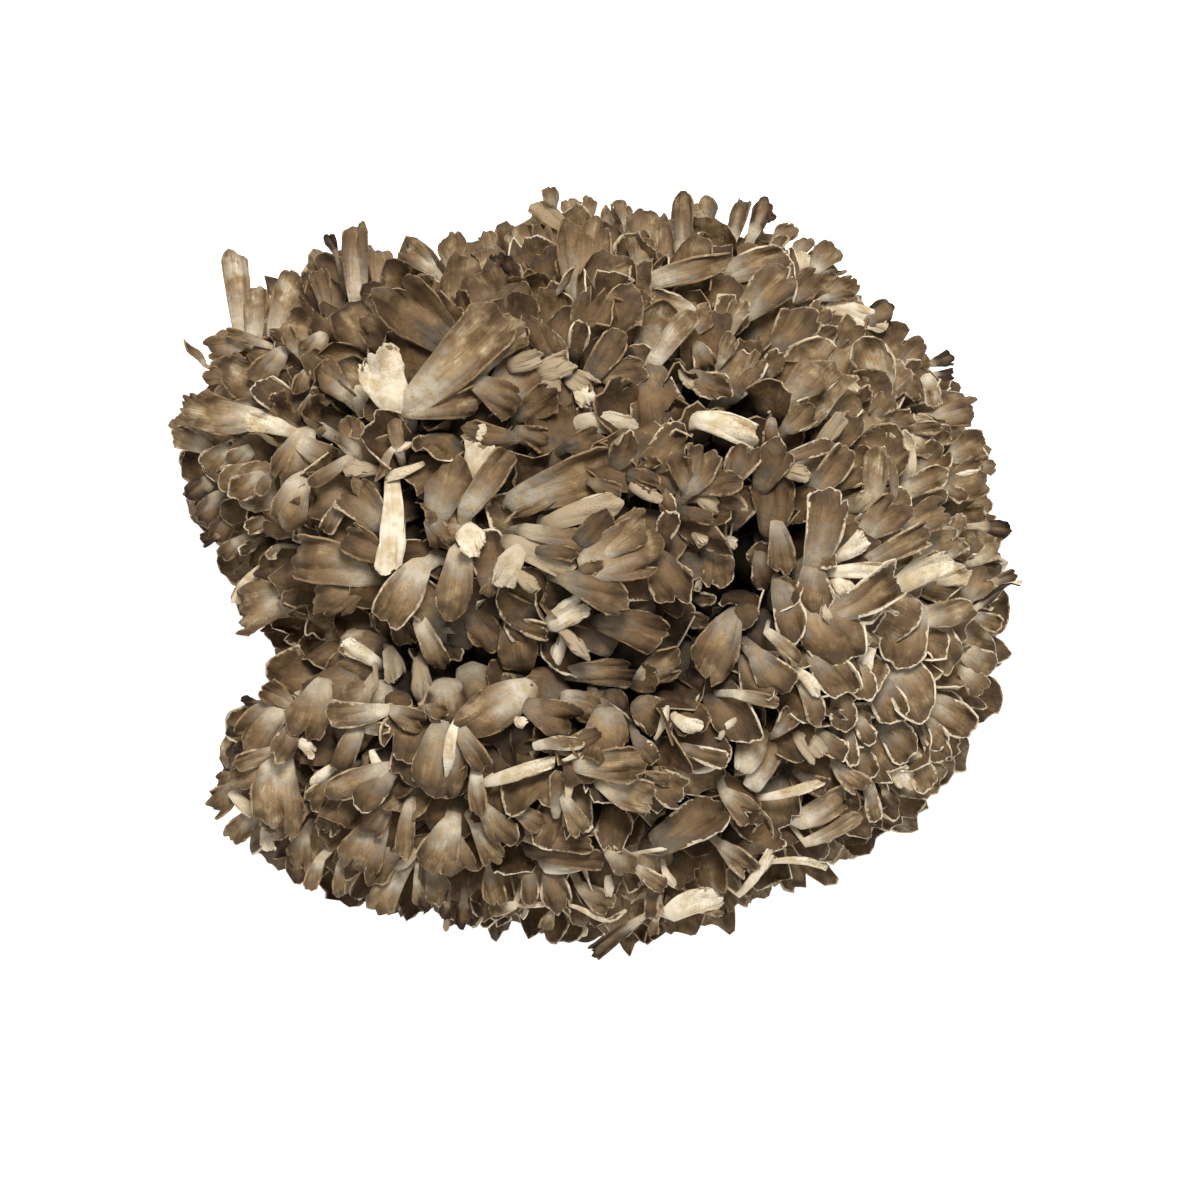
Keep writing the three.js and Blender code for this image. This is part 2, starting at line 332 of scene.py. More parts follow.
class Frond:
    """A stalk that flares into a cap, in the crown's plan."""

    def __init__(self, root, base, ahead, up, length, width, style, draw, tone, edge, roll=0.0, **changes):
        self.form = {**STYLES[style], **changes}
        self.length, self.width, self.tone, self.edge = length, width, tone, edge
        self.bare = style in BARE
        side = unit(np.cross(ahead, up))
        self.up = np.cross(side, ahead)
        steps = np.linspace(0, 1, 24)
        droop = self.form["droop"] + 0.30 * draw.normal()
        curl = self.form.get("curl", 0.35 * draw.normal())
        turns = (droop * 2 * steps + curl * 4 * (steps > 0.75)) / len(steps)
        settled = ARCH * np.exp(-np.linspace(0, 1, 25) / ARCH_SHARE)
        rising = unit(ahead * math.cos(ARCH) + self.up * math.sin(ARCH))
        cap = march(base, rising, -side, length, turns + settled[:-1] - settled[1:])
        cap = cap - self.up * ((cap[12] - base) @ self.up)
        base = cap[0]
        reach = np.linalg.norm(base - root)
        t = np.linspace(0, 1, 15)[:-1, None]
        bend = root + unit(base - root) * reach * 0.4
        stalk = (1 - t) ** 3 * root + 3 * (1 - t) ** 2 * t * bend
        stalk = stalk + 3 * (1 - t) * t ** 2 * (base - rising * reach * 0.3) + t ** 3 * base
        self.path = np.concatenate([stalk, cap])
        along_stalk = np.linspace(0, STALK_SHARE, 15)[:-1]
        self.stations = np.concatenate([along_stalk, np.linspace(STALK_SHARE, 1, 25)])
        tangents = unit(np.gradient(self.path, axis=0))
        self.last = tangents[-1]
        twist = draw.normal() * self.form.get("twist", 0.22)
        angles = roll + twist * smooth(STALK_SHARE, 1, self.stations)[:, None]
        flat = unit(self.up - tangents * (tangents @ self.up)[:, None])
        self.normals = flat * np.cos(angles) + np.cross(tangents, flat) * np.sin(angles)
        self.sides = np.cross(tangents, self.normals)
        self.waves = draw.uniform(0, 2 * math.pi, 8)
        self.counts = draw.uniform(0.7, 1.3, 4)
        self.lean = draw.normal() * 0.16
        self.skew = draw.normal() * 0.10
        self.sway = draw.choice([-1, 1]) * draw.uniform(0.6, 1.4) * self.form.get("sway", 0.03)
        self.rolled_edge = 0.13 * draw.normal()
        self.cup = self.form["cup"] * draw.uniform(0.4, 1.8) + 0.35 * draw.normal()
        slits = self.form.get("slits", 0)
        self.slits = [(draw.uniform(-0.75, 0.75), draw.uniform(0.08, 0.30)) for _ in range(slits)]
        self.ratio = min(width / length, 1.2)
        self.rags = draw.normal(size=RAGGED_STEPS)
        self.side_rags = draw.normal(size=RAGGED_STEPS)

    def along(self, table, y):
        return np.stack([np.interp(y, self.stations, table[:, k]) for k in range(3)], -1)

    def half_width(self, cap, y):
        f = self.form
        flare = f["neck"] + (1 - f["neck"]) * cap ** f["widen"]
        stalk = 0.55 + 0.45 * smooth(0, STALK_SHARE, y)
        drawn_in = 1 - 0.10 * smooth(0.6, 1.0, cap)
        return self.width / 2 * flare * stalk * drawn_in

    def outline(self, x, y):
        """Where a point of the blank lies on the flat frond: its share along, and how far across."""
        f, w = self.form, self.waves
        cap = np.clip((y - STALK_SHARE) / (1 - STALK_SHARE), 0, 1)
        lobes = 0.065 * np.sin(3.4 * self.counts[0] * x + w[0])
        lobes = lobes + 0.028 * np.sin(7.5 * self.counts[1] * x + w[1])
        lobes = lobes + 0.010 * np.sin(13 * self.counts[2] * x + w[2])
        lobes = lobes * (0.6 + 4 * f["ruffle"])
        lobes = lobes + 0.5 * f["ragged"] * np.interp(x, np.linspace(-1, 1, RAGGED_STEPS), self.rags)
        for place, depth in self.slits:
            lobes = lobes - depth * np.exp(-(((x - place) / 0.10) ** 2))
        aside = np.clip(x - self.lean * (1 - x * x), -1, 1)
        back = f["round"] * 0.6 * self.ratio * (1 - np.sqrt(1 - 0.97 * aside ** 2)) * cap ** 1.4
        share = cap * (1 - back + self.ratio * lobes * cap ** 2)
        share = np.where(y < STALK_SHARE, y, STALK_SHARE + (1 - STALK_SHARE) * share)
        notch = 1 + f["ragged"] * 0.8 * np.interp(y, np.linspace(0, 1, RAGGED_STEPS), self.side_rags) * cap
        across = x * self.half_width(cap, y) * notch
        across = across + (self.skew * self.width + self.sway * self.length) * cap ** 2
        return share, across, cap

    def middle(self, x, y):
        """A point of the frond's middle surface."""
        f, w = self.form, self.waves
        share, across, cap = self.outline(x, y)
        centre = self.along(self.path, np.minimum(share, 1.0))
        beyond = np.maximum(share, 1.0) - 1.0
        centre = centre + self.last * (beyond * self.length / (1 - STALK_SHARE))[:, None]
        side = self.along(self.sides, share)
        normal = self.along(self.normals, share)
        bend = self.cup / self.width * (0.35 + 0.65 * cap)
        bend = np.where(np.abs(bend) < 1e-4, 1e-4, bend)
        flat = np.sin(across * bend) / bend
        lifted = (1 - np.cos(across * bend)) / bend
        wavy = f["ruffle"] * self.width * cap ** 2 * (0.35 + 0.65 * np.abs(x))
        lifted = lifted + wavy * np.sin(4.2 * self.counts[2] * x + w[6] + 1.2 * cap)
        lifted = lifted + 0.45 * wavy * np.sin(9.5 * self.counts[3] * x + w[7])
        lifted = lifted + f["folds"] * self.width * cap * np.sin(21 * x + w[1])
        crumple = np.sin(5.1 * self.counts[0] * x + 3.7 * cap + w[3])
        crumple = crumple + 0.7 * np.sin(8.1 * self.counts[1] * cap - 3.3 * x + w[4])
        crumple = crumple + 0.45 * np.sin(9.7 * x + 7.9 * self.counts[2] * cap + w[5])
        lifted = lifted + CRUMPLE * self.width * crumple * cap
        to_rim = np.maximum(cap, np.abs(x) * cap ** 0.5)
        lifted = lifted + self.rolled_edge * self.width * smooth(0.68, 1.0, to_rim)
        return centre + side * flat[:, None] + normal * lifted[:, None]

    def posed(self, blank):
        """The blank's points laid on this frond, with how far each is along the cap and from its rim."""
        x, y = blank.across, blank.along
        step = 0.006
        here = self.middle(x, y)
        over = self.middle(x + step, y) - self.middle(x - step, y)
        on = self.middle(x, y + step) - self.middle(x, y - step)
        normal = unit(np.cross(over, on))
        cap = np.clip((y - STALK_SHARE) / (1 - STALK_SHARE), 0, 1)
        stalk_thick = self.form.get("stalk", min(6.5, self.width * self.form["neck"] * 0.55))
        cap_thick = self.form.get("thick", CAP_THICKNESS)
        body = stalk_thick + (cap_thick - stalk_thick) * smooth(0.0, 0.5, cap)
        round_off = np.sqrt(np.maximum(1 - (0.9 - 0.35 * cap) * x ** 2, 0.05))
        body = body * round_off
        thin = smooth(0.55, 1, np.maximum(cap, np.abs(x) * cap))
        thick = body + (np.minimum(RIM_THICKNESS, body) - body) * thin
        points = here + normal * (blank.face * thick / 2)[:, None]
        rim = np.minimum((1 - np.abs(x)) * self.half_width(cap, y) + 8 * (1 - smooth(0.1, 0.4, cap)),
                         (1 - cap) * self.length)
        return points, cap, rim


# ---- blanks: what every frond is shaped from ------------------------------------------------------


def start_clean():
    if bpy.context.mode != "OBJECT":
        bpy.ops.object.mode_set(mode="OBJECT")
    bpy.ops.object.select_all(action="DESELECT")


class Blank:
    """A flat sheet with a skin above, a pore face below and a rim, modelled once."""

    def __init__(self, name, columns, rows):
        start_clean()
        bpy.ops.mesh.primitive_grid_add(
            x_subdivisions=columns, y_subdivisions=rows, size=2, location=(0, 0, 0))
        sheet = bpy.context.object
        sheet.name = name
        solidify = sheet.modifiers.new("thickness", "SOLIDIFY")
        solidify.thickness = 0.2
        solidify.offset = 0
        solidify.use_rim = True
        bpy.ops.object.modifier_apply(modifier="thickness")
        mesh = sheet.data
        co = np.zeros(len(mesh.vertices) * 3)
        mesh.vertices.foreach_get("co", co)
        co = co.reshape(-1, 3)
        self.across = np.sin(co[:, 0] * math.pi / 2)  # closer rows near the sides
        self.along = 1 - (1 - (co[:, 1] + 1) / 2) ** 1.15  # and near the far rim
        self.face = np.sign(co[:, 2])
        self.quads = np.array([p.vertices[:] for p in mesh.polygons])
        side = self.face[self.quads].sum(1)
        self.material = np.where(side > 3, 0, np.where(side < -3, 1, 2))
        bpy.data.objects.remove(sheet)


FINE = Blank("fine_blank", 26, 12)
PLAIN = Blank("plain_blank", 14, 8)
SMALL = Blank("small_blank", 12, 9)
COARSE = Blank("coarse_blank", 8, 6)
HIDDEN_BLANK = Blank("hidden_blank", 6, 5)

# ---- fronds whose place is known --------------------------------------------------------------------

# Base x and y, tip x and y as seen from above, width, style, how steeply it rises and how far it is
# rolled over (180 shows its pore face) in degrees, how pale the skin is from 0 to 1, how pale the rim
# is (1 bright cream, below 0 scorched), and how far the base stands above the crown in mm.
PLACED = [
    # upper left
    (-179, 118, -181, 161, 15, "tongue", 5, 0, 0.85, 0.1, 0),
    (-173, 116, -172, 142, 13, "tongue", 5, 0, 0.75, 0.1, 1),
    (-163, 116, -153, 149, 19, "fan", 5, 0, 0.7, 0.1, 0),
    (-141, 122, -147, 141, 4, "strip", 5, 0, 0.2, -0.3, 3),
    (-137, 130, -139, 151, 12, "fan", 10, 0, 0.4, 0.1, 0),
    (-121, 134, -124, 174, 16, "tongue", 5, 0, 0.7, -0.2, 2),
    (-132, 158, -136, 168, 7, "frill", 10, 0, 0.3, -0.8, 2),
    (-109, 134, -109, 167, 15, "fan", 5, 0, 0.6, 0.1, 0),
    (-112, 146, -106, 153, 8, "slab", 8, 180, 1, 0.2, 2),
    (-84, 150, -98, 163, 16, "fan", 5, 0, 0.65, 0.1, 0), (-72, 149, -77, 169, 17, "fan", 5, 0, 0.62, 0.1, 0),
    (-74, 112, -104, 140, 34, "fan", 20, 0, 0.25, 0.2, 4),
    (-97, 110, -118, 124, 22, "fan", 15, 0, 0.45, 0.1, 2),
    (-118, 129, -112, 138, 6, "cup", 25, 0, 0.6, 0.3, 4),
    (-101, 82, -117, 107, 26, "slab", 10, 180, 0.9, 0.8, 8),
    (-126, 87, -142, 101, 16, "spoon", 10, 0, 0.55, -0.1, 5),
    (-124, 92, -111, 71, 12, "tongue", 10, 0, 0.8, 0, 4),
    (-98, 80, -48, 122, 30, "fan", 15, 0, 0.75, 0.1, 7), (-98, 80, -62, 84, 20, "fan", 15, 0, 0.75, 0.1, 5),
    (-62, 102, -48, 127, 24, "slab", 12, 0, 0.85, 0.1, 9),
    (-198, 103, -203, 115, 6, "strip", 5, 0, 0.4, -0.1, 0),
    (-178, 113, -197, 109, 14, "fan", 8, 0, 0.6, 0, 1),
    (-165, 112, -187, 119, 6, "tongue", 8, 0, 0.65, 0.1, 2),
    (-180, 105, -186, 107, 8, "cup", 30, 0, 0.5, 0, 1), (-174, 103, -181, 99, 8, "cup", 30, 0, 0.6, 0, 1),
    (-165, 104, -171, 99, 9, "slab", 10, 180, 0.95, 0.3, 3),
    (-188, 96, -198, 98, 11, "fan", 8, 0, 0.5, 0, 0), (-183, 92, -194, 86, 11, "fan", 10, 0, 0.85, 0.1, 1),
    (-158, 110, -171, 94, 16, "fan", 15, 0, 0.5, 0, 3), (-152, 109, -157, 119, 9, "fan", 10, 0, 0.5, 0.1, 3),
    (-140, 115, -148, 104, 18, "frill", 15, 0, 0.55, 0.1, 3),
    (-171, 76, -204, 73, 24, "fan", 8, 0, 0.65, 0.1, 2), (-200, 68, -215, 79, 14, "fan", 8, 0, 0.45, 0.2, 1),
    (-197, 76, -208, 87, 11, "fan", 5, 0, 0.45, 0, 0),
    (-157, 70, -174, 77, 12, "slab", 10, 180, 0.95, 0.5, 6),
    (-161, 84, -164, 89, 6, "cup", 50, 0, 0.9, 0.1, 4), (-146, 100, -152, 89, 10, "fan", 15, 0, 0.5, 0.1, 3),
    (-143, 88, -147, 76, 10, "fan", 15, 0, 0.5, 0.1, 3),
    # top
    (-54, 156, -57, 171, 11, "fan", 5, 0, 0.65, -0.1, -3),
    (-60, 146, -66, 157, 9, "frill", 20, 0, 0.2, -0.7, 3),
    (-50, 146, -52, 158, 9, "frill", 20, 0, 0.2, -0.7, 3),
    (-42, 146, -47, 156, 8, "frill", 20, 0, 0.25, -0.6, 3),
    (-35, 153, -42, 173, 18, "fan", 5, 0, 0.75, 0.1, 1),
    (-18, 172, -33, 182, 13, "spoon", 10, 180, 0.4, -0.3, 4),
    (-24, 178, -25, 193, 10, "fan", 5, 0, 0.65, 0, -6), (-14, 174, -16, 187, 12, "fan", 5, 0, 0.75, 0, -6),
    (-7, 174, -3, 187, 9, "fan", 5, 0, 0.6, 0, -6), (4, 172, 4, 182, 10, "fan", 5, 0, 0.75, 0, -6),
    (12, 174, 13, 185, 11, "fan", 5, 0, 0.7, 0, -6), (-26, 152, -28, 174, 12, "tongue", 5, 0, 0.6, 0, -1),
    (-8, 146, -3, 174, 36, "fan", 8, 0, 0.65, 0.1, 4), (22, 160, 24, 183, 24, "fan", 5, 0, 0.6, -0.2, 1),
    (11, 170, 9, 182, 3, "strip", 5, 0, 0.15, -0.4, 3),
    (42, 154, 38, 189, 13, "tongue", 5, 0, 0.65, -0.3, 4),
    (58, 161, 48, 180, 13, "tongue", 10, 180, 0.7, 0.2, 4),
    (52, 176, 52, 189, 17, "fan", 5, 0, 0.65, -0.3, -5), (20, 150, 24, 167, 17, "fan", 8, 0, 0.65, 0.2, 4),
    (2, 144, 18, 152, 11, "tongue", 10, 0, 0.7, 0.1, 6),
    (27, 145, 64, 152, 16, "tongue", 12, 0, 0.6, 0.3, 7), (14, 147, 24, 141, 10, "fan", 15, 0, 0.45, 0.2, 5),
    (-30, 146, -21, 138, 4, "strip", 10, 0, 0.5, 0.5, 7),
    (-22, 138, -11, 148, 5, "strip", 10, 0, 0.5, 0.5, 7),
    (-34, 144, -37, 151, 9, "cup", 30, 0, 0.45, 0.2, 3), (-18, 147, -20, 154, 9, "cup", 25, 0, 0.5, 0.2, 4),
    (-50, 126, -43, 144, 30, "fan", 15, 0, 0.25, 0.2, 3),
    (-66, 124, -70, 138, 12, "cup", 30, 0, 0.15, 0.2, 2),
    (-46, 104, -38, 123, 12, "fan", 20, 0, 0.3, 0.2, 3),
    (-24, 103, -32, 128, 15, "fan", 15, 0, 0.25, 0.2, 4), (-13, 105, -9, 122, 12, "cup", 35, 0, 0.2, 0.7, 2),
    (-6, 116, 4, 143, 38, "frill", 15, 0, 0.3, 0.35, 6),
    (-5, 96, 10, 119, 16, "tongue", 12, 0, 0.35, 0.4, 6), (20, 126, 27, 133, 12, "slab", 15, 0, 0.8, 0.2, 2),
    (46, 128, 29, 139, 13, "slab", 12, 0, 0.9, 0.6, 9),
    (26, 103, 45, 129, 13, "tongue", 12, 0, 0.95, 0.4, 10),
    (47, 119, 57, 129, 13, "fan", 15, 0, 0.55, 0.3, 5), (50, 110, 55, 99, 14, "fan", 15, 0, 0.5, 0.6, 5),
    (1, 97, 22, 98, 18, "fan", 12, 0, 0.45, 0.5, 6), (-45, 102, -30, 106, 10, "crumb", 20, 0, 0.7, 0.3, 6),
    (-29, 99, -15, 104, 13, "crumb", 20, 0, 0.7, 0.3, 7), (-27, 96, -22, 89, 8, "crumb", 20, 0, 0.6, 0.3, 6),
    (-15, 97, -4, 90, 12, "crumb", 20, 0, 0.8, 0.3, 7), (-10, 91, -6, 82, 10, "crumb", 20, 0, 0.95, 0.4, 7),
    (-63, 94, -40, 83, 20, "fan", 12, 0, 0.55, 0.3, 7), (-80, 88, -64, 96, 8, "tongue", 12, 0, 0.8, 0.2, 7),
    (-42, 76, -22, 88, 18, "fan", 20, 0, 0.4, 0.2, 4), (-34, 72, -17, 77, 14, "spoon", 15, 0, 0.4, 0.2, 5),
    (-10, 74, 17, 76, 14, "slab", 8, 180, 1, 0.9, 11), (-4, 84, 15, 87, 7, "strip", 15, 0, 0.35, 0.3, 8),
    (27, 89, 30, 68, 32, "fan", 15, 0, 0.4, 0.6, 5), (26, 98, 38, 88, 14, "frill", 15, 0, 0.65, 0.7, 6),
    (40, 102, 43, 90, 6, "strip", 12, 180, 0.95, 0.8, 7), (45, 98, 60, 86, 17, "fan", 12, 0, 0.45, 0.6, 5),
    (49, 75, 78, 73, 16, "slab", 8, 180, 1, 0.9, 11),
    # upper right
    (66, 174, 67, 185, 5, "strip", 5, 0, 0.5, -0.5, -3),
    (65, 163, 72, 188, 10, "tongue", 5, 0, 0.6, -0.3, 1), (76, 167, 85, 186, 12, "cup", 5, 0, 0.65, -0.4, 1),
    (80, 174, 88, 177, 6, "fan", 8, 0, 0.5, -0.3, 2), (87, 163, 96, 173, 12, "fan", 8, 0, 0.55, 0.1, 0),
    (97, 155, 103, 169, 10, "tongue", 5, 0, 0.65, 0, 0),
    (107, 150, 116, 164, 16, "fan", 5, 0, 0.65, -0.1, 0),
    (113, 149, 122, 151, 4, "strip", 5, 0, 0.3, -0.3, 1),
    (101, 149, 104, 158, 8, "slab", 10, 180, 0.85, 0.5, 3),
    (62, 147, 92, 160, 18, "tongue", 10, 0, 0.5, 0.8, 6), (86, 157, 91, 168, 8, "fan", 15, 0, 0.4, 0.6, 2),
    (98, 147, 95, 161, 7, "tongue", 15, 0, 0.3, 0.9, 3), (71, 127, 94, 152, 24, "fan", 12, 0, 0.5, 0.6, 7),
    (97, 137, 110, 145, 17, "fan", 15, 0, 0.4, 0.2, 3), (116, 138, 126, 147, 15, "fan", 8, 0, 0.55, 0.1, 0),
    (91, 113, 104, 129, 24, "fan", 15, 0, 0.3, 0.5, 4), (103, 121, 115, 131, 15, "fan", 15, 0, 0.4, 0.7, 6),
    (106, 113, 116, 120, 12, "fan", 15, 0, 0.3, 0.7, 5),
    (116, 110, 125, 126, 12, "cup", 20, 0, 0.45, 0.5, 5),
    (117, 131, 144, 125, 13, "slab", 8, 180, 1, 0.3, 5),
    (138, 127, 149, 133, 16, "spoon", 10, 0, 0.3, -0.6, 7),
    (112, 136, 127, 137, 6, "tongue", 15, 0, 0.55, 0.1, 7),
    (141, 91, 136, 119, 26, "cup", 15, 0, 0.75, 0.7, 6), (150, 101, 163, 113, 19, "fan", 8, 0, 0.5, 0.1, 1),
    (165, 103, 177, 107, 9, "frill", 8, 0, 0.4, -0.5, 1), (167, 98, 177, 96, 7, "frill", 8, 0, 0.4, -0.5, 1),
    (163, 97, 171, 82, 11, "slab", 12, 0, 0.9, 0.6, 3), (147, 95, 162, 91, 14, "fan", 15, 0, 0.4, 0.5, 3),
    (136, 77, 145, 89, 14, "fan", 15, 0, 0.4, 0.6, 4), (145, 73, 155, 80, 12, "fan", 12, 0, 0.4, 0.6, 4),
    (153, 70, 169, 73, 8, "tongue", 12, 0, 0.45, 0.5, 3), (168, 77, 189, 79, 17, "fan", 6, 0, 0.5, 0.1, 1),
    (118, 95, 128, 87, 10, "crumb", 25, 0, 0.95, 0.4, 4), (92, 84, 113, 104, 22, "fan", 12, 0, 0.6, 0.2, 7),
    (64, 117, 70, 135, 12, "frill", 15, 0, 0.85, 0.6, 6),
    (60, 103, 66, 117, 10, "frill", 15, 0, 0.8, 0.6, 5), (72, 97, 78, 109, 6, "tongue", 20, 0, 0.95, 0.3, 4),
    (83, 97, 91, 108, 13, "cup", 25, 0, 0.5, 0.6, 5), (95, 72, 107, 80, 16, "fan", 12, 0, 0.45, 0.6, 5),
    (129, 84, 135, 91, 8, "cup", 25, 0, 0.25, 0.5, 3),
    # left
    (-201, 63, -213, 70, 14, "shingle", 10, 0, 0.6, 0.6, 1),
    (-187, 60, -198, 50, 14, "shingle", 10, 0, 0.5, 0.6, 1),
    (-175, 60, -186, 52, 12, "shingle", 10, 0, 0.5, 0.6, 2),
    (-177, 48, -190, 42, 16, "shingle", 10, 0, 0.5, 0.6, 1),
    (-170, 46, -184, 36, 15, "shingle", 10, 0, 0.45, 0.6, 2),
    (-148, 66, -156, 43, 25, "fan", 12, 0, 0.6, 0.2, 5),
    (-144, 60, -132, 52, 14, "tongue", 12, 0, 0.65, 0, 4),
    (-165, 48, -170, 37, 9, "cup", 25, 0, 0.4, 0.4, 4),
    (-150, 44, -161, 20, 22, "spoon", 10, 0, 0.6, 0.3, 5),
    (-125, 56, -144, 42, 8, "tongue", 12, 0, 0.65, 0.2, 7),
    (-112, 50, -128, 52, 9, "stem", 8, 0, 0.75, 0, 5), (-122, 58, -130, 73, 18, "frill", 15, 0, 0.6, 0.2, 6),
    (-102, 62, -115, 51, 6, "strip", 15, 0, 0.85, 0.1, 8),
    (-104, 60, -92, 60, 5, "strip", 10, 180, 1, 0.5, 7),
    (-100, 58, -104, 75, 8, "tongue", 10, 0, 0.7, 0.1, 6),
    (-89, 53, -106, 43, 6, "strip", 10, 180, 1, 0.8, 7), (-104, 43, -98, 1, 15, "stem", 5, 0, 1, 0, 10),
    (-111, 24, -124, 44, 24, "fan", 15, 0, 0.5, 0.6, 6), (-106, 6, -126, 16, 18, "fan", 20, 0, 0.35, 0.2, 5),
    (-128, 33, -139, 20, 10, "tongue", 15, 0, 0.6, 0.6, 5),
    (-84, 24, -74, 13, 14, "spoon", 15, 0, 0.55, 0.2, 8),
    (-195, 44, -207, 38, 12, "shingle", 6, 0, 0.3, -0.7, 0),
    (-191, 36, -200, 24, 14, "shingle", 6, 0, 0.45, -0.3, 0),
    (-185, 26, -194, 15, 14, "shingle", 6, 0, 0.45, -0.3, 0),
    (-190, 18, -200, 14, 8, "frill", 6, 0, 0.3, -0.8, 0),
    (-181, 14, -190, 7, 10, "shingle", 6, 0, 0.45, -0.2, 0),
    (-168, 24, -178, 20, 12, "cup", 25, 0, 0.45, 0.6, 3), (-172, 14, -180, 8, 9, "cup", 20, 0, 0.5, 0.8, 2),
    (-160, 12, -167, 8, 6, "strip", 20, 0, 0.9, 0.7, 4),
    (-118, 0, -154, 8, 26, "tongue", 10, 0, 0.5, 0.3, 6),
    (-166, 4, -186, -13, 7, "slab", 5, 180, 1, 0.3, -5),
    (-152, -14, -185, -15, 29, "fan", 5, 0, 0.65, 0.1, 4),
    (-148, -10, -157, -18, 11, "cup", 25, 0, 0.3, 0.2, 7),
    (-118, -4, -140, -20, 26, "frill", 15, 0, 0.4, 0.1, 5),
    (-90, 2, -108, -25, 26, "cup", 10, 0, 0.7, 0.6, 8),
    (-100, -28, -98, -37, 14, "fan", 20, 0, 0.35, 0.2, 4),
    (-138, -24, -145, -35, 15, "shingle", 12, 0, 0.45, 0.8, 4),
    (-137, -34, -147, -43, 17, "shingle", 10, 0, 0.45, 0.3, 3),
    (-124, -34, -131, -43, 14, "shingle", 12, 0, 0.45, 0.3, 4),
    (-112, -46, -127, -36, 10, "slab", 10, 180, 0.95, 0.6, 8),
    (-106, -40, -99, -53, 12, "slab", 12, 180, 0.9, 0.6, 8),
    (-90, -26, -78, -50, 13, "tongue", 8, 0, 0.8, 0.6, 8),
    # middle
    (-82, 26, -74, 56, 24, "spoon", 10, 0, 0.6, 0, 9), (-67, 30, -44, 57, 17, "tongue", 8, 0, 0.75, 0.1, 11),
    (-40, 66, -66, 66, 14, "frill", 15, 0, 0.4, -0.1, 13), (-62, 48, -52, 64, 24, "slab", 5, 180, 1, 0.4, 7),
    (-42, 70, -24, 64, 14, "frill", 12, 0, 0.5, -0.2, 10), (-44, 34, 8, 50, 28, "fan", 8, 0, 0.7, 0.2, 10),
    (-4, 44, 10, 37, 12, "fan", 12, 0, 0.5, 0.2, 11), (-24, 24, 8, 36, 14, "tongue", 10, 180, 0.95, 0.7, 9),
    (-10, 14, 4, 28, 14, "tongue", 15, 0, 0.2, 0.1, 6), (-24, 35, -43, 22, 7, "strip", 10, 0, 0.55, 0.2, 11),
    (-38, 20, 2, 10, 12, "tongue", 10, 0, 0.8, 0.3, 8), (-30, 10, -12, 9, 8, "tongue", 10, 0, 0.45, 0.2, 9),
    (-46, 14, -14, 1, 14, "tongue", 8, 180, 1, 0.5, 7), (-40, 10, -52, -4, 15, "slab", 8, 180, 1, 0.6, 8),
    (-41, -2, -32, -9, 9, "slab", 8, 180, 1, 0.5, 8), (-68, 20, -58, 9, 15, "crumb", 25, 0, 1, 0.5, 10),
    (-70, 9, -72, -23, 20, "tongue", 8, 0, 0.65, 0.2, 9), (-54, -4, -56, -13, 8, "fan", 12, 0, 0.5, 0.2, 5),
    (-4, 3, 29, 15, 36, "fan", 8, 0, 0.75, 0.3, 10), (0, 8, 22, 24, 20, "fan", 14, 0, 0.85, 0.2, 12),
    (-10, 0, 0, 2, 8, "spoon", 20, 0, 0.5, 0.1, 12), (-18, -4, 13, -14, 20, "fan", 8, 0, 0.55, 0.4, 9),
    (28, 6, 40, -16, 25, "fan", 12, 0, 0.35, 0.6, 7), (14, 48, 28, 43, 13, "cup", 20, 0, 0.25, 0.4, 6),
    (22, 55, 29, 52, 9, "cup", 20, 0, 0.45, 0.4, 6), (8, 53, 18, 67, 18, "cup", 25, 0, 0.5, 0.5, 7),
    (-16, 62, 0, 66, 16, "fan", 15, 0, 0.4, 0.3, 6), (28, 55, 44, 66, 24, "fan", 12, 0, 0.4, 0.6, 5),
    (16, 42, 30, 34, 8, "tongue", 12, 180, 0.85, 0.3, 7), (30, 40, 37, 29, 10, "spoon", 15, 0, 0.5, 0.7, 7),
    (43, 40, 40, 57, 14, "fan", 12, 0, 0.55, 0.4, 7), (44, 40, 58, 56, 20, "fan", 12, 0, 0.6, 0.4, 7),
    (46, 40, 68, 46, 14, "fan", 12, 0, 0.5, 0.4, 6), (50, 36, 60, 30, 10, "slab", 12, 180, 0.9, 0.6, 6),
    (40, 30, 56, 26, 8, "tongue", 15, 0, 0.2, 0.2, 5), (30, 13, 37, 28, 13, "cup", 25, 0, 0.2, 0.8, 6),
    (48, 20, 54, 16, 10, "crumb", 25, 0, 0.95, 0.6, 7), (55, 14, 64, -7, 24, "split", 12, 0, 0.6, 0.7, 7),
    (58, 16, 69, 14, 6, "slab", 10, 180, 1, 0.6, 8), (-24, -52, -21, -29, 8, "stem", 5, 0, 1, 0, 10),
    (-21, -28, -4, -43, 8, "stem", 8, 0, 0.85, 0, 10),
    (-24, -27, -10, -16, 13, "crumb", 20, 0, 0.95, 0.4, 11),
    (-62, -24, -54, -38, 18, "spoon", 15, 0, 0.35, 0.3, 6),
    (-42, -32, -40, -50, 22, "spoon", 10, 0, 0.4, 0.3, 6),
    (-44, -26, -28, -31, 10, "fan", 12, 0, 0.35, 0.6, 6), (0, -26, 32, -29, 23, "fan", 8, 0, 0.5, 0.4, 7),
    (42, -24, 54, -26, 12, "cup", 25, 0, 0.25, 0.5, 5), (47, -14, 58, -15, 10, "cup", 25, 0, 0.3, 0.6, 5),
    (66, -24, 52, -52, 28, "fan", 10, 0, 0.55, 0.4, 6), (-18, -52, 16, -48, 16, "fan", 10, 0, 0.7, 0.4, 7),
    (24, -52, 40, -44, 20, "fan", 10, 0, 0.75, 0.3, 6), (-78, -36, -68, -44, 12, "cup", 20, 0, 0.5, 0.6, 6),
    (-80, -30, -66, -32, 5, "strip", 8, 180, 1, 0.8, 7),
    # right
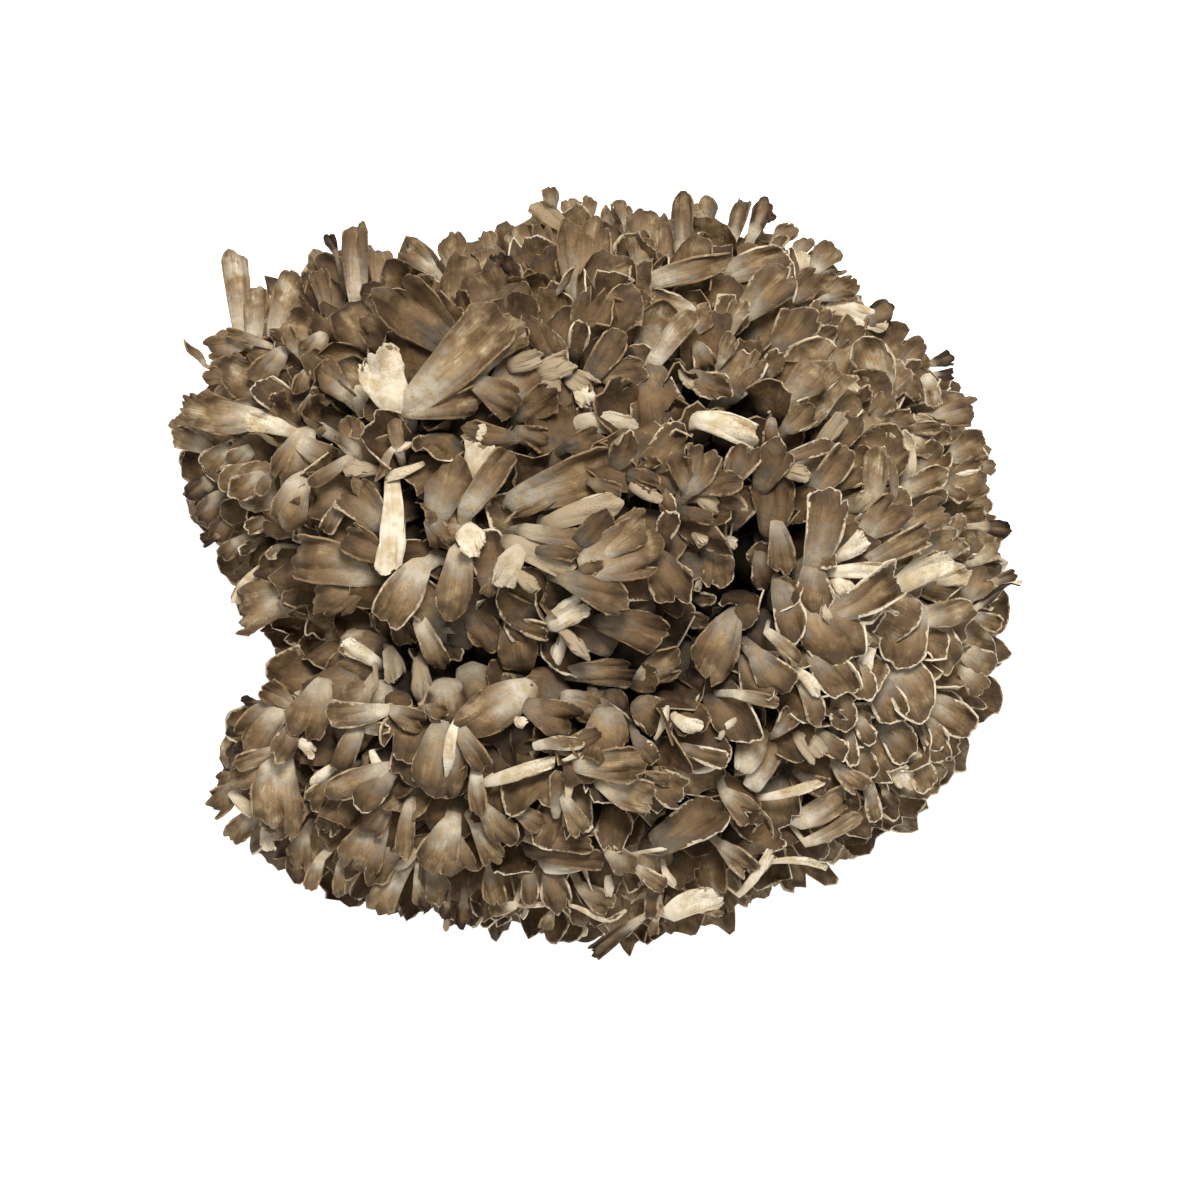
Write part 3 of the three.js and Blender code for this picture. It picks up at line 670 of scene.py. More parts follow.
    (86, 75, 84, 62, 9, "spoon", 15, 0, 0.5, 0.5, 6), (108, 61, 122, 75, 8, "crumb", 20, 0, 0.6, 0.3, 6),
    (94, 56, 118, 64, 9, "tongue", 12, 0, 0.35, 0.8, 5), (118, 60, 130, 74, 14, "fan", 15, 0, 0.3, 0.4, 3),
    (154, 49, 148, 71, 16, "slab", 10, 180, 1, 0.7, 7), (136, 30, 139, 60, 15, "cup", 8, 0, 0.95, 0.2, 9),
    (147, 36, 150, 60, 7, "strip", 10, 0, 0.5, 0.8, 8), (161, 51, 172, 62, 20, "fan", 10, 0, 0.45, 0.6, 4),
    (161, 66, 176, 68, 12, "fan", 10, 0, 0.45, 0.6, 3), (177, 57, 192, 65, 18, "fan", 6, 0, 0.5, 0.3, 2),
    (189, 51, 198, 56, 12, "fan", 6, 0, 0.5, -0.1, 1), (176, 41, 195, 46, 24, "fan", 8, 0, 0.5, 0.3, 4),
    (174, 46, 190, 55, 4, "strip", 8, 180, 1, 1, 6), (152, 39, 172, 50, 14, "tongue", 12, 0, 0.6, 0.6, 6),
    (172, 41, 183, 36, 9, "cup", 20, 0, 0.5, 0.6, 5), (107, 40, 126, 57, 16, "tongue", 12, 0, 0.4, 0.5, 5),
    (118, 41, 130, 50, 12, "fan", 15, 0, 0.4, 0.5, 4), (86, 23, 92, 44, 25, "fan", 12, 0, 0.2, 0.4, 4),
    (92, 50, 104, 48, 8, "crumb", 25, 0, 0.85, 0.5, 5), (64, 43, 74, 62, 18, "fan", 12, 0, 0.45, 0.5, 5),
    (80, 40, 90, 63, 20, "fan", 15, 0, 0.3, 0.6, 4), (66, 21, 74, 39, 15, "fan", 15, 0, 0.5, 0.6, 5),
    (106, 1, 121, 37, 24, "fan", 8, 0, 0.5, 0.8, 8), (104, 29, 108, 36, 8, "cup", 25, 0, 0.6, 0.6, 6),
    (129, 31, 135, 38, 9, "crumb", 25, 0, 0.6, 0.2, 9), (134, 20, 150, 33, 22, "fan", 10, 0, 0.55, 0.4, 7),
    (154, 21, 172, 31, 20, "fan", 10, 0, 0.5, 0.3, 6), (174, 6, 180, 17, 12, "frill", 15, 0, 0.85, 0.6, 6),
    (176, 16, 179, 28, 11, "frill", 15, 0, 0.8, 0.6, 5), (120, 7, 134, 14, 11, "slab", 8, 180, 1, 0.8, 9),
    (116, -1, 145, 2, 9, "tongue", 6, 180, 1, 0.6, 9), (132, 4, 164, 16, 14, "fan", 10, 0, 0.5, 0.5, 7),
    (150, -8, 170, 9, 17, "slab", 8, 180, 1, 0.7, 8), (170, -6, 184, 0, 14, "frill", 12, 180, 0.95, 0.6, 6),
    (190, 22, 205, 21, 10, "fan", 6, 0, 0.5, -0.6, 2), (188, 4, 201, 13, 11, "fan", 6, 0, 0.8, 0.5, 2),
    (183, -13, 197, -1, 18, "fan", 6, 0, 0.55, 0.4, 3), (196, -6, 209, -3, 8, "fan", 6, 0, 0.5, -0.3, 1),
    (186, -20, 208, -12, 6, "strip", 6, 0, 0.9, -0.8, 2), (188, -23, 201, -29, 11, "cup", 8, 0, 0.4, 0.6, 1),
    (160, -24, 186, -20, 16, "tongue", 8, 0, 0.65, 0.5, 6),
    (106, 1, 107, -21, 22, "fan", 10, 0, 0.5, 0.8, 7),
    (118, -6, 125, -12, 10, "slab", 10, 180, 0.95, 0.8, 8),
    (113, -18, 112, -28, 6, "strip", 8, 180, 0.9, 0.6, 8), (115, -23, 149, -8, 21, "fan", 8, 0, 0.5, 0.9, 8),
    (116, -27, 148, -20, 4, "strip", 6, 180, 1, 1, 6), (92, -13, 99, -35, 18, "tongue", 10, 0, 0.45, 0.8, 6),
    (112, -27, 121, -47, 34, "shingle", 8, 0, 0.5, 1, 6),
    (155, -23, 148, -49, 28, "shingle", 8, 0, 0.5, 1, 7),
    (166, -27, 172, -51, 24, "shingle", 8, 0, 0.5, 0.9, 5),
    (122, -30, 136, -33, 8, "slab", 8, 180, 0.8, 0.5, 7), (136, -39, 128, -52, 9, "slab", 8, 180, 1, 0.8, 9),
    (84, -31, 100, -44, 8, "tongue", 10, 0, 0.75, 0.4, 6), (80, 8, 82, -10, 15, "fan", 10, 0, 0.5, 0.7, 6),
    (88, 24, 94, 0, 16, "fan", 10, 0, 0.55, 0.5, 7), (108, 4, 118, 6, 11, "cup", 15, 0, 0.45, 0.9, 9),
    (184, -42, 197, -52, 16, "shingle", 6, 0, 0.5, 0.8, 3),
    (186, -54, 194, -62, 14, "shingle", 6, 0, 0.5, 0.6, 1),
    # lower left
    (-150, -53, -161, -52, 6, "tongue", 6, 0, 0.6, 0.2, 1),
    (-127, -46, -135, -55, 17, "spoon", 10, 0, 0.45, 0.3, 4),
    (-155, -67, -167, -58, 14, "fan", 8, 0, 0.5, 0.1, 2),
    (-140, -60, -148, -84, 26, "fan", 10, 0, 0.5, 0.3, 6),
    (-161, -70, -181, -85, 26, "fan", 8, 0, 0.6, 0.3, 5),
    (-172, -66, -179, -66, 6, "frill", 8, 0, 0.2, -0.8, 3),
    (-179, -82, -187, -80, 6, "frill", 6, 0, 0.15, -0.9, 1),
    (-177, -91, -184, -87, 8, "frill", 6, 0, 0.2, -0.7, 0),
    (-154, -78, -158, -92, 14, "cup", 20, 0, 0.45, 0.5, 6),
    (-150, -86, -142, -90, 8, "slab", 8, 180, 0.95, 0.4, 5),
    (-121, -80, -133, -99, 14, "spoon", 10, 0, 0.5, 0.5, 6),
    (-107, -70, -135, -76, 15, "fan", 10, 0, 0.8, 0.6, 8),
    (-117, -67, -115, -50, 7, "stem", 8, 0, 0.6, 0, 7), (-118, -80, -104, -79, 8, "cup", 20, 0, 0.6, 0.7, 6),
    (-104, -70, -90, -78, 14, "fan", 10, 0, 0.55, 0.4, 7),
    (-90, -45, -91, -70, 13, "stem", 6, 0, 0.7, 0.5, 8), (-88, -69, -77, -72, 10, "fan", 10, 0, 0.5, 0.3, 6),
    (-78, -87, -84, -117, 32, "spoon", 8, 0, 0.45, 0.5, 8),
    (-72, -76, -85, -102, 8, "strip", 8, 180, 1, 0.8, 11),
    (-106, -100, -136, -111, 17, "spoon", 10, 0, 0.55, 0.5, 7),
    (-114, -91, -110, -103, 6, "slab", 8, 180, 1, 0.5, 6),
    (-106, -102, -121, -119, 18, "spoon", 10, 0, 0.35, 0.9, 8),
    (-134, -99, -145, -106, 7, "tongue", 8, 180, 0.9, 0.4, 6),
    (-131, -105, -140, -121, 20, "fan", 12, 0, 0.45, 0.6, 4),
    (-133, -119, -140, -130, 14, "fan", 10, 0, 0.45, 0.5, 3),
    (-160, -95, -168, -127, 32, "fan", 10, 0, 0.65, -0.1, 7),
    (-162, -97, -183, -108, 16, "fan", 10, 0, 0.6, 0.1, 6),
    (-162, -90, -181, -97, 10, "fan", 10, 0, 0.6, 0.4, 6),
    (-183, -103, -191, -105, 8, "fan", 6, 0, 0.5, -0.1, 1),
    (-182, -109, -194, -119, 16, "fan", 6, 0, 0.6, -0.2, 1),
    (-173, -121, -184, -135, 13, "spoon", 6, 0, 0.55, -0.1, 2),
    (-184, -112, -173, -122, 6, "crumb", 10, 0, 0.95, 0.8, 7),
    (-167, -129, -168, -140, 8, "slab", 6, 180, 0.85, 0.3, 1),
    (-150, -122, -165, -133, 15, "fan", 10, 0, 0.65, 0.6, 5),
    (-148, -133, -153, -148, 16, "frill", 10, 0, 0.45, 0.3, 2),
    (-140, -145, -146, -159, 9, "tongue", 6, 0, 0.55, 0.2, 1),
    (-130, -147, -131, -163, 7, "spoon", 6, 0, 0.55, 0.3, 1),
    (-113, -131, -126, -151, 27, "fan", 8, 0, 0.55, 0.3, 6),
    (-102, -138, -116, -155, 16, "spoon", 8, 0, 0.4, 0.5, 7),
    (-94, -144, -103, -151, 6, "slab", 8, 180, 1, 0.6, 5),
    (-107, -119, -118, -131, 16, "fan", 12, 0, 0.4, 0.3, 4),
    (-95, -116, -99, -143, 11, "spoon", 10, 0, 0.5, 0.4, 6),
    (-74, -126, -84, -151, 24, "fan", 8, 0, 0.6, 0.4, 6),
    (-101, -154, -115, -169, 17, "spoon", 6, 0, 0.6, 0.3, 3),
    (-92, -155, -88, -167, 8, "frill", 8, 0, 0.85, 0.3, 2),
    (-90, -161, -86, -170, 7, "frill", 6, 0, 0.2, -0.8, 1),
    (-84, -150, -76, -166, 16, "fan", 8, 0, 0.5, 0.6, 4),
    # bottom
    (-40, -62, -68, -76, 28, "spoon", 10, 0, 0.75, 0, 9),
    (-36, -68, -13, -79, 22, "fan", 10, 0, 0.4, 0.4, 6),
    (-42, -75, -37, -77, 5, "crumb", 15, 0, 0.95, 0.4, 8), (-18, -63, 0, -72, 18, "fan", 10, 0, 0.7, 0.3, 7),
    (-2, -66, 12, -84, 18, "fan", 12, 0, 0.45, 0.6, 5),
    (-70, -80, -58, -99, 12, "tongue", 10, 0, 0.55, 0.4, 7),
    (-32, -88, -12, -82, 8, "slab", 10, 0, 0.85, 0.7, 7), (-20, -90, 0, -84, 14, "fan", 12, 0, 0.35, 0.3, 5),
    (-18, -95, -8, -93, 3, "strip", 8, 180, 1, 1, 8), (-11, -98, 20, -96, 20, "fan", 8, 0, 0.65, 0.3, 9),
    (2, -103, 9, -106, 6, "slab", 8, 180, 0.95, 0.4, 8),
    (4, -107, 24, -118, 20, "slab", 10, 0, 0.75, 0.5, 9),
    (20, -102, 34, -104, 6, "tongue", 8, 0, 0.6, 0.4, 7),
    (26, -103, 42, -113, 20, "fan", 12, 0, 0.45, 0.7, 5),
    (29, -137, 61, -115, 23, "tongue", 8, 0, 0.3, 1, 7), (16, -142, 60, -129, 3, "strip", 6, 180, 1, 1, 6),
    (-56, -106, -24, -96, 9, "tongue", 10, 180, 0.95, 0.6, 10),
    (-62, -101, -62, -122, 10, "tongue", 10, 0, 0.7, 0.2, 8),
    (-42, -119, -28, -129, 12, "spoon", 15, 0, 0.65, 0.2, 6),
    (-58, -119, -46, -137, 16, "fan", 12, 0, 0.55, 0.5, 6),
    (-22, -123, -22, -101, 9, "cup", 10, 0, 0.6, 0.5, 8),
    (-16, -114, -16, -96, 6, "strip", 8, 180, 1, 0.8, 9),
    (-18, -114, -8, -131, 12, "fan", 10, 0, 0.6, 0.4, 7),
    (-40, -132, -5, -136, 15, "fan", 10, 0, 0.5, 0.5, 6),
    (-27, -149, -2, -149, 10, "slab", 6, 180, 1, 0.9, 8),
    (-36, -140, 0, -146, 12, "tongue", 15, 0, 0.25, 0.2, 5),
    (-76, -131, -70, -154, 22, "fan", 8, 0, 0.6, 0.4, 7),
    (-63, -127, -50, -145, 14, "frill", 12, 0, 0.7, 0.3, 7),
    (-54, -146, -54, -167, 13, "fan", 8, 0, 0.55, 0.3, 4),
    (-68, -166, -70, -178, 11, "frill", 6, 0, 0.15, -0.9, 1),
    (-76, -167, -80, -174, 7, "frill", 6, 0, 0.2, -0.8, 0),
    (-44, -168, -55, -171, 8, "tongue", 5, 0, 0.65, 0.4, 1),
    (-36, -149, -34, -167, 11, "spoon", 10, 0, 0.4, 0.5, 5),
    (-24, -153, -20, -168, 18, "fan", 10, 0, 0.4, 0.6, 4),
    (-40, -168, -12, -170, 4, "strip", 5, 180, 0.95, 0.8, 3),
    (-14, -168, 13, -173, 4, "strip", 5, 180, 0.95, 0.8, 4),
    (-10, -158, 5, -169, 14, "fan", 8, 0, 0.6, 0.5, 4), (4, -139, 18, -151, 16, "fan", 10, 0, 0.6, 0.6, 6),
    (4, -154, 6, -163, 6, "slab", 8, 180, 0.95, 0.4, 5), (18, -149, 34, -159, 10, "fan", 10, 0, 0.6, 0.8, 5),
    (26, -159, 26, -174, 8, "tongue", 10, 0, 0.35, 0.5, 4),
    (32, -149, 35, -161, 6, "strip", 10, 180, 1, 0.6, 5),
    (35, -172, 55, -157, 16, "slab", 6, 180, 0.95, 0.7, 5),
    (50, -170, 63, -168, 9, "fan", 5, 0, 0.6, 0.4, 2), (28, -174, 26, -182, 6, "fan", 5, 0, 0.6, -0.2, 0),
    (21, -174, -6, -191, 9, "frill", 4, 0, 0.5, -0.4, 3),
    (-24, -171, -28, -180, 8, "fan", 5, 0, 0.6, 0.2, 0), (28, -84, 38, -70, 4, "strip", 8, 180, 1, 1, 7),
    (38, -74, 48, -82, 9, "slab", 8, 180, 0.95, 0.7, 7), (60, -84, 64, -71, 5, "strip", 8, 180, 0.95, 1, 6),
    (18, -84, 28, -95, 12, "cup", 15, 0, 0.4, 0.7, 5), (40, -88, 62, -97, 10, "fan", 12, 0, 0.45, 0.8, 5),
    (48, -101, 66, -99, 5, "strip", 6, 180, 0.95, 0.9, 6),
    # lower right
    (128, -48, 135, -64, 16, "shingle", 8, 0, 0.55, 1, 7),
    (152, -51, 165, -71, 27, "shingle", 8, 0, 0.5, 1, 7),
    (112, -46, 122, -62, 22, "shingle", 8, 0, 0.45, 1, 5),
    (142, -62, 150, -75, 20, "shingle", 8, 0, 0.45, 1, 5),
    (120, -64, 124, -80, 16, "shingle", 10, 0, 0.35, 0.9, 6),
    (172, -70, 185, -81, 20, "shingle", 6, 0, 0.45, 0.9, 4),
    (164, -77, 172, -88, 13, "shingle", 8, 0, 0.55, 1, 6),
    (146, -80, 158, -92, 20, "shingle", 8, 0, 0.4, 1, 4),
    (112, -84, 120, -95, 13, "shingle", 8, 0, 0.45, 1, 5),
    (130, -75, 134, -87, 10, "shingle", 8, 0, 0.5, 1, 6),
    (166, -85, 173, -95, 15, "shingle", 6, 0, 0.5, 0.9, 3),
    (130, -92, 138, -103, 14, "shingle", 8, 0, 0.4, 0.9, 4),
    (124, -81, 127, -97, 9, "shingle", 8, 0, 0.45, 1, 4),
    (146, -92, 151, -111, 13, "slab", 8, 180, 0.95, 0.8, 4),
    (158, -95, 167, -109, 15, "shingle", 5, 0, 0.6, 0.8, 2),
    (134, -106, 139, -126, 9, "tongue", 5, 0, 0.75, 0.8, 3),
    (142, -110, 147, -120, 8, "fan", 5, 0, 0.4, -0.4, 1),
    (118, -98, 130, -111, 14, "frill", 10, 0, 0.7, 0.6, 5),
    (72, -99, 80, -78, 19, "spoon", 10, 0, 0.85, 0.2, 8),
    (76, -108, 90, -83, 16, "tongue", 8, 0, 0.9, 0.3, 8),
    (88, -82, 98, -69, 12, "frill", 15, 0, 0.55, 0.8, 6), (80, -45, 92, -62, 22, "fan", 10, 0, 0.45, 0.6, 5),
    (68, -62, 89, -66, 8, "tongue", 10, 0, 0.85, 0.4, 6),
    (102, -57, 112, -75, 12, "tongue", 10, 0, 0.6, 0.6, 6),
    (98, -50, 111, -58, 7, "slab", 10, 180, 0.95, 0.8, 6),
    (100, -82, 110, -93, 12, "crumb", 20, 0, 0.7, 0.8, 6),
    (100, -125, 128, -113, 17, "tongue", 8, 0, 0.75, 0.4, 7),
    (104, -136, 131, -126, 9, "tongue", 6, 0, 0.7, 0.3, 4),
    (72, -140, 91, -129, 18, "fan", 8, 0, 0.25, 0.9, 5),
    (70, -162, 88, -144, 6, "slab", 4, 180, 0.9, 0.6, 3),
    (86, -146, 112, -138, 5, "strip", 4, 180, 0.9, 0.6, 3),
    (60, -137, 74, -149, 13, "fan", 8, 0, 0.6, 0.5, 5), (60, -165, 62, -173, 6, "fan", 5, 0, 0.3, -0.5, 1),
    (80, -114, 112, -111, 6, "slab", 8, 180, 0.95, 0.8, 7),
    (62, -111, 76, -123, 16, "frill", 12, 0, 0.65, 0.5, 6),
    (102, -104, 114, -111, 12, "fan", 10, 0, 0.35, 0.5, 4),
]

# ---- where the fronds grow -----------------------------------------------------------------------

roots, root_lobes = stalk_starts()
grown = {lobe: [] for lobe in LOBES}


def stalk_of(point):
    return int(np.argmin(np.sum((roots - point) ** 2, 1)))


def plant(frond, stalk, blank):
    """Add a frond to its lobe. Caps are painted a little darker at the crown's middle and paler round its
    edge, as painted shade and painted light.
    """
    if not frond.bare:
        rim = np.linalg.norm(frond.path[-1][:2]) / 200
        frond.tone = float(np.clip(frond.tone + PAINTED_RIM_LIGHT * (rim - 0.55), 0.02, 1.0))
    grown[root_lobes[stalk]].append((frond, blank))


def region_at(x, y):
    """The blend of the regions' numbers at a place, and the kind of the strongest one."""
    away = [(x - r[0]) ** 2 + (y - r[1]) ** 2 for r in REGIONS]
    pull = np.array([math.exp(-far / REGION_SIZE ** 2) + 1e-6 for far in away])
    blend = (pull[:, None] * np.array([r[2:7] for r in REGIONS])).sum(0) / pull.sum()
    return blend, REGIONS[int(np.argmax(pull))][7]


def heading_at(point, loose, draw):
    """The way a frond leans in plan, away from the nearest whorls and from the crown's middle."""
    lean = np.zeros(2)
    nearest = 1e9
    for (x, y), pull in WHORLS:
        away = point[:2] - np.array([x, y])
        distance = max(np.linalg.norm(away), 6.0)
        lean += pull * away / distance ** 2.6 * 900
        nearest = min(nearest, distance)
    angle = np.array(math.atan2(point[1], point[0]))
    rim = np.linalg.norm(point[:2]) / float(reach_at(angle, cap_inset(angle)))
    out = unit(point[:2]) * (0.25 + 3.0 * rim ** 3)
    heading = unit(unit(lean) + out + draw.normal(size=2) * loose * 0.8)
    return heading, nearest


def scatter(seed, wide, narrow, tries):
    """Evenly loose places all over the crown, closer together at the whorls' middles."""
    draw = np.random.default_rng(seed)
    lowest = math.cos(math.radians(LOWEST_ANGLE))
    down = np.arccos(1 - draw.uniform(0, 1, tries) * (1 - lowest))
    angle = draw.uniform(0, 2 * math.pi, tries)
    points = cap_point(down, angle)
    kept = []
    places = np.zeros((tries, 3))
    for i in range(tries):
        p = points[i]
        near = min(np.hypot(p[0] - x, p[1] - y) for (x, y), _ in WHORLS)
        apart = narrow + (wide - narrow) * min(near / 60, 1)
        if len(kept) and np.min(np.sum((places[:len(kept)] - p) ** 2, 1)) < apart ** 2:
            continue
        places[len(kept)] = p
        kept.append(i)
    return down[kept], angle[kept]


def aim(heading, rise, normal):
    """The way a frond grows, and the way its cap's skin looks."""
    ahead = np.array([heading[0] * math.cos(rise), heading[1] * math.cos(rise), math.sin(rise)])
    return ahead, unit(np.array([0, 0, 0.8]) + 0.2 * normal)


def choose(weights, draw):
    names = list(weights)
    shares = np.array([weights[n] for n in names])
    return names[int(np.searchsorted(np.cumsum(shares / shares.sum()), draw.uniform()))]


HOLE_FLOOR = 28  # nothing grows in the two great hollows above this depth


def grow_layer(seed, places, depth, scale, blank):
    downs, angles = places
    for i in range(len(downs)):
        draw = np.random.default_rng(seed + i)
        down, angle = downs[i], angles[i]
        p = cap_point(down, angle, depth)
        n = cap_normal(down, angle)
        (lean, loose, width, tone, edge), kind = region_at(p[0], p[1])
        heading, nearest = heading_at(p, loose, draw)
        flank = float(smooth(0.75, 1.5, down))
        rise = math.radians(lean + 26 * math.exp(-((nearest / 22) ** 2)) + 30 * loose * draw.normal())
        settled = flank * math.radians(4 + 14 * draw.normal())
        rise = rise * (1 - flank) + settled - 0.5 * float(smooth(1.5, 1.8, down))
        ahead, up = aim(heading, rise, n)
        width = width * scale * draw.uniform(0.72, 1.25) * (0.75 if nearest < 20 else 1.0)
        length = width * draw.uniform(0.95, 1.35)
        style = choose(KINDS[kind], draw)
        if style == "tongue":
            width *= 0.72
        base = p - ahead * length * 0.5
        if depth < HOLE_FLOOR and any(math.hypot(p[0] - x, p[1] - y) < r for x, y, r, _ in HOLES[:2]):
            continue
        covered = any(np.linalg.norm(place - p) < size for place, size in shown)
        if covered:
            base = base - n * SINK
        base[2] = max(base[2], FLOOR_GAP + 8)
        stalk = stalk_of(base)
        root = roots[stalk] + draw.normal(size=3) * 5
        # Painted shade: a frond that lies under a placed frond has its tone lowered by 0.18.
        pale = float(np.clip(tone + 0.24 * draw.normal() - (0.18 if covered else 0.0), 0.02, 1.0))
        margin = float(np.clip(edge + 0.35 * draw.normal(), -0.4, 1.0))
        frond = Frond(root, base, ahead, up, length, width, style, draw, pale, margin)
        plant(frond, stalk, COARSE if covered and down < 1.1 else blank)


HIGHEST_LIFT = 8  # no base stands further above the crown than this

# How long a placed frond is at least, as a share of its width: the rest lies behind its seen base.
HIDDEN = dict(fan=1.15, shingle=1.2, tongue=1.6, spoon=1.3, cup=1.1, frill=1.0, split=1.0)


def place_fronds():
    """The fronds whose place matters, each with its base and tip as they are seen from above."""
    for i, row in enumerate(PLACED):
        x0, y0, x1, y1, width, style, rise, roll, tone, edge, lift = row
        draw = np.random.default_rng(500 + i)
        base = seen_at(x0, y0, min(lift, HIGHEST_LIFT))
        seen = math.hypot(x1 - x0, y1 - y0)
        level = (VIEW_RIGHT * (x1 - x0) + VIEW_UP * (y1 - y0)) / seen
        rise, roll = math.radians(rise), math.radians(roll)
        ahead = level * math.cos(rise) + VIEW_BACK * math.sin(rise)
        up = VIEW_BACK * math.cos(rise) - level * math.sin(rise)
        hidden = max(HIDDEN.get(style, 0.0) * width - seen, 0.06 * seen)
        length = (seen + hidden) / math.cos(rise) * 1.03
        start = base - ahead * hidden
        stalk = stalk_of(base)
        frond = Frond(roots[stalk], start, ahead, up, length, width, style, draw, tone, edge, roll,
                      twist=0.16, curl=0.25 * draw.normal())
        plant(frond, stalk, FINE if width > 9 else SMALL)
        shown.append((base + ahead * seen * 0.5, max(width, seen) * 0.45))


shown = []
place_fronds()
grow_layer(1000, scatter(5, SPACING[1], SPACING[0], 16000), 0.0, 1.0, PLAIN)
for depth, apart in INNER_LAYERS:
    grow_layer(4000 + 100 * depth, scatter(6 + depth, apart, apart, 5000), depth, 1.1, HIDDEN_BLANK)

# ---- finishes -----------------------------------------------------------------------------------


def linear(hex_colour):
    value = int(hex_colour.lstrip("#"), 16)
    channels = [(value >> shift & 255) / 255 for shift in (16, 8, 0)]
    return [c / 12.92 if c <= 0.04045 else ((c + 0.055) / 1.055) ** 2.4 for c in channels] + [1.0]


def add(tree, kind, links=None, **settings):
    """Adds a node with its settings, and fills its inputs from values or other nodes' outputs."""
    made = tree.nodes.new(kind)
    for key, value in settings.items():
        if key == "stops":
            ramp = made.color_ramp
            while len(ramp.elements) < len(value):
                ramp.elements.new(0.5)
            for element, (position, colour) in zip(ramp.elements, value):
                element.position = position
                element.color = linear(colour)
        else:
            setattr(made, key, value)
    for key, value in (links or {}).items():
        socket = made.inputs[key]
        if isinstance(value, bpy.types.NodeSocket):
            tree.links.new(value, socket)
        elif isinstance(value, str):
            socket.default_value = linear(value)
        else:
            socket.default_value = value
    return made


def start_material(name):
    material = bpy.data.materials.new(name)
    material.use_nodes = True
    tree = material.node_tree
    tree.nodes.clear()
    shader = add(tree, "ShaderNodeBsdfPrincipled")
    add(tree, "ShaderNodeOutputMaterial", {"Surface": shader.outputs["BSDF"]})
    return material, tree, shader


def mix(tree, share, a, b):
    return add(tree, "ShaderNodeMix", {0: share, 6: a, 7: b}, data_type="RGBA").outputs[2]


def sums(tree, operation, *values):
    return add(tree, "ShaderNodeMath", dict(enumerate(values)), operation=operation).outputs[0]


def between(tree, value, low, high, to_low=0.0, to_high=1.0):
    return add(tree, "ShaderNodeMapRange", {"Value": value, "From Min": low, "From Max": high,
                                            "To Min": to_low, "To Max": to_high},
               interpolation_type="SMOOTHSTEP").outputs[0]


def attribute(tree, name):
    return add(tree, "ShaderNodeAttribute", attribute_name=name).outputs["Fac"]


def fibre_pattern(tree, tone, width_mm, length_mm):
    """Streaks that run along the frond and fan out with it, as long hairs of flesh pressed flat."""
    flat = add(tree, "ShaderNodeUVMap", uv_map="lay").outputs["UV"]
    split = add(tree, "ShaderNodeSeparateXYZ", {"Vector": flat})
    across = sums(tree, "MULTIPLY", split.outputs["X"], 1 / (width_mm * MM))
    along = sums(tree, "MULTIPLY", split.outputs["Y"], 1 / (length_mm * MM))
    seed = sums(tree, "MULTIPLY", tone, 37.0)
    where = add(tree, "ShaderNodeCombineXYZ", {"X": across, "Y": along, "Z": seed}).outputs[0]
    return add(tree, "ShaderNodeTexNoise", {"Vector": where, "Scale": 1.0, "Detail": 3.0,
                                            "Roughness": 0.6}).outputs["Fac"]


def spots(tree, size_mm, detail=3.0):
    where = add(tree, "ShaderNodeTexCoord").outputs["Object"]
    return add(tree, "ShaderNodeTexNoise", {"Vector": where, "Scale": 1 / (size_mm * MM),
                                            "Detail": detail}).outputs["Fac"]


def painted_shade_by_depth(tree, colour, strength=0.86):
    """Painted shade: the colour is drawn toward near black the deeper a point lies between the fronds or in
    the grooves of the stalk flesh.
    """
    deep = attribute(tree, "deep")
    return mix(tree, sums(tree, "MULTIPLY", between(tree, deep, 2.0, 20.0), strength), colour, "#120c07")


def margin_colour(tree, edge, cloud):
    """Cream where the rim still grew, tan where it has dried, near black where it is scorched."""
    dry = mix(tree, between(tree, cloud, 0.4, 0.65), "#9c8260", "#74593c")
    fresh = mix(tree, between(tree, cloud, 0.35, 0.7), "#f7eedb", "#dcc7a2")
    patchy = sums(tree, "ADD", edge, sums(tree, "MULTIPLY", sums(tree, "SUBTRACT", cloud, 0.5), 1.8))
    colour = mix(tree, between(tree, patchy, 0.25, 1.0), dry, fresh)
    return mix(tree, between(tree, edge, -0.15, -0.6), colour, "#2b1d12")


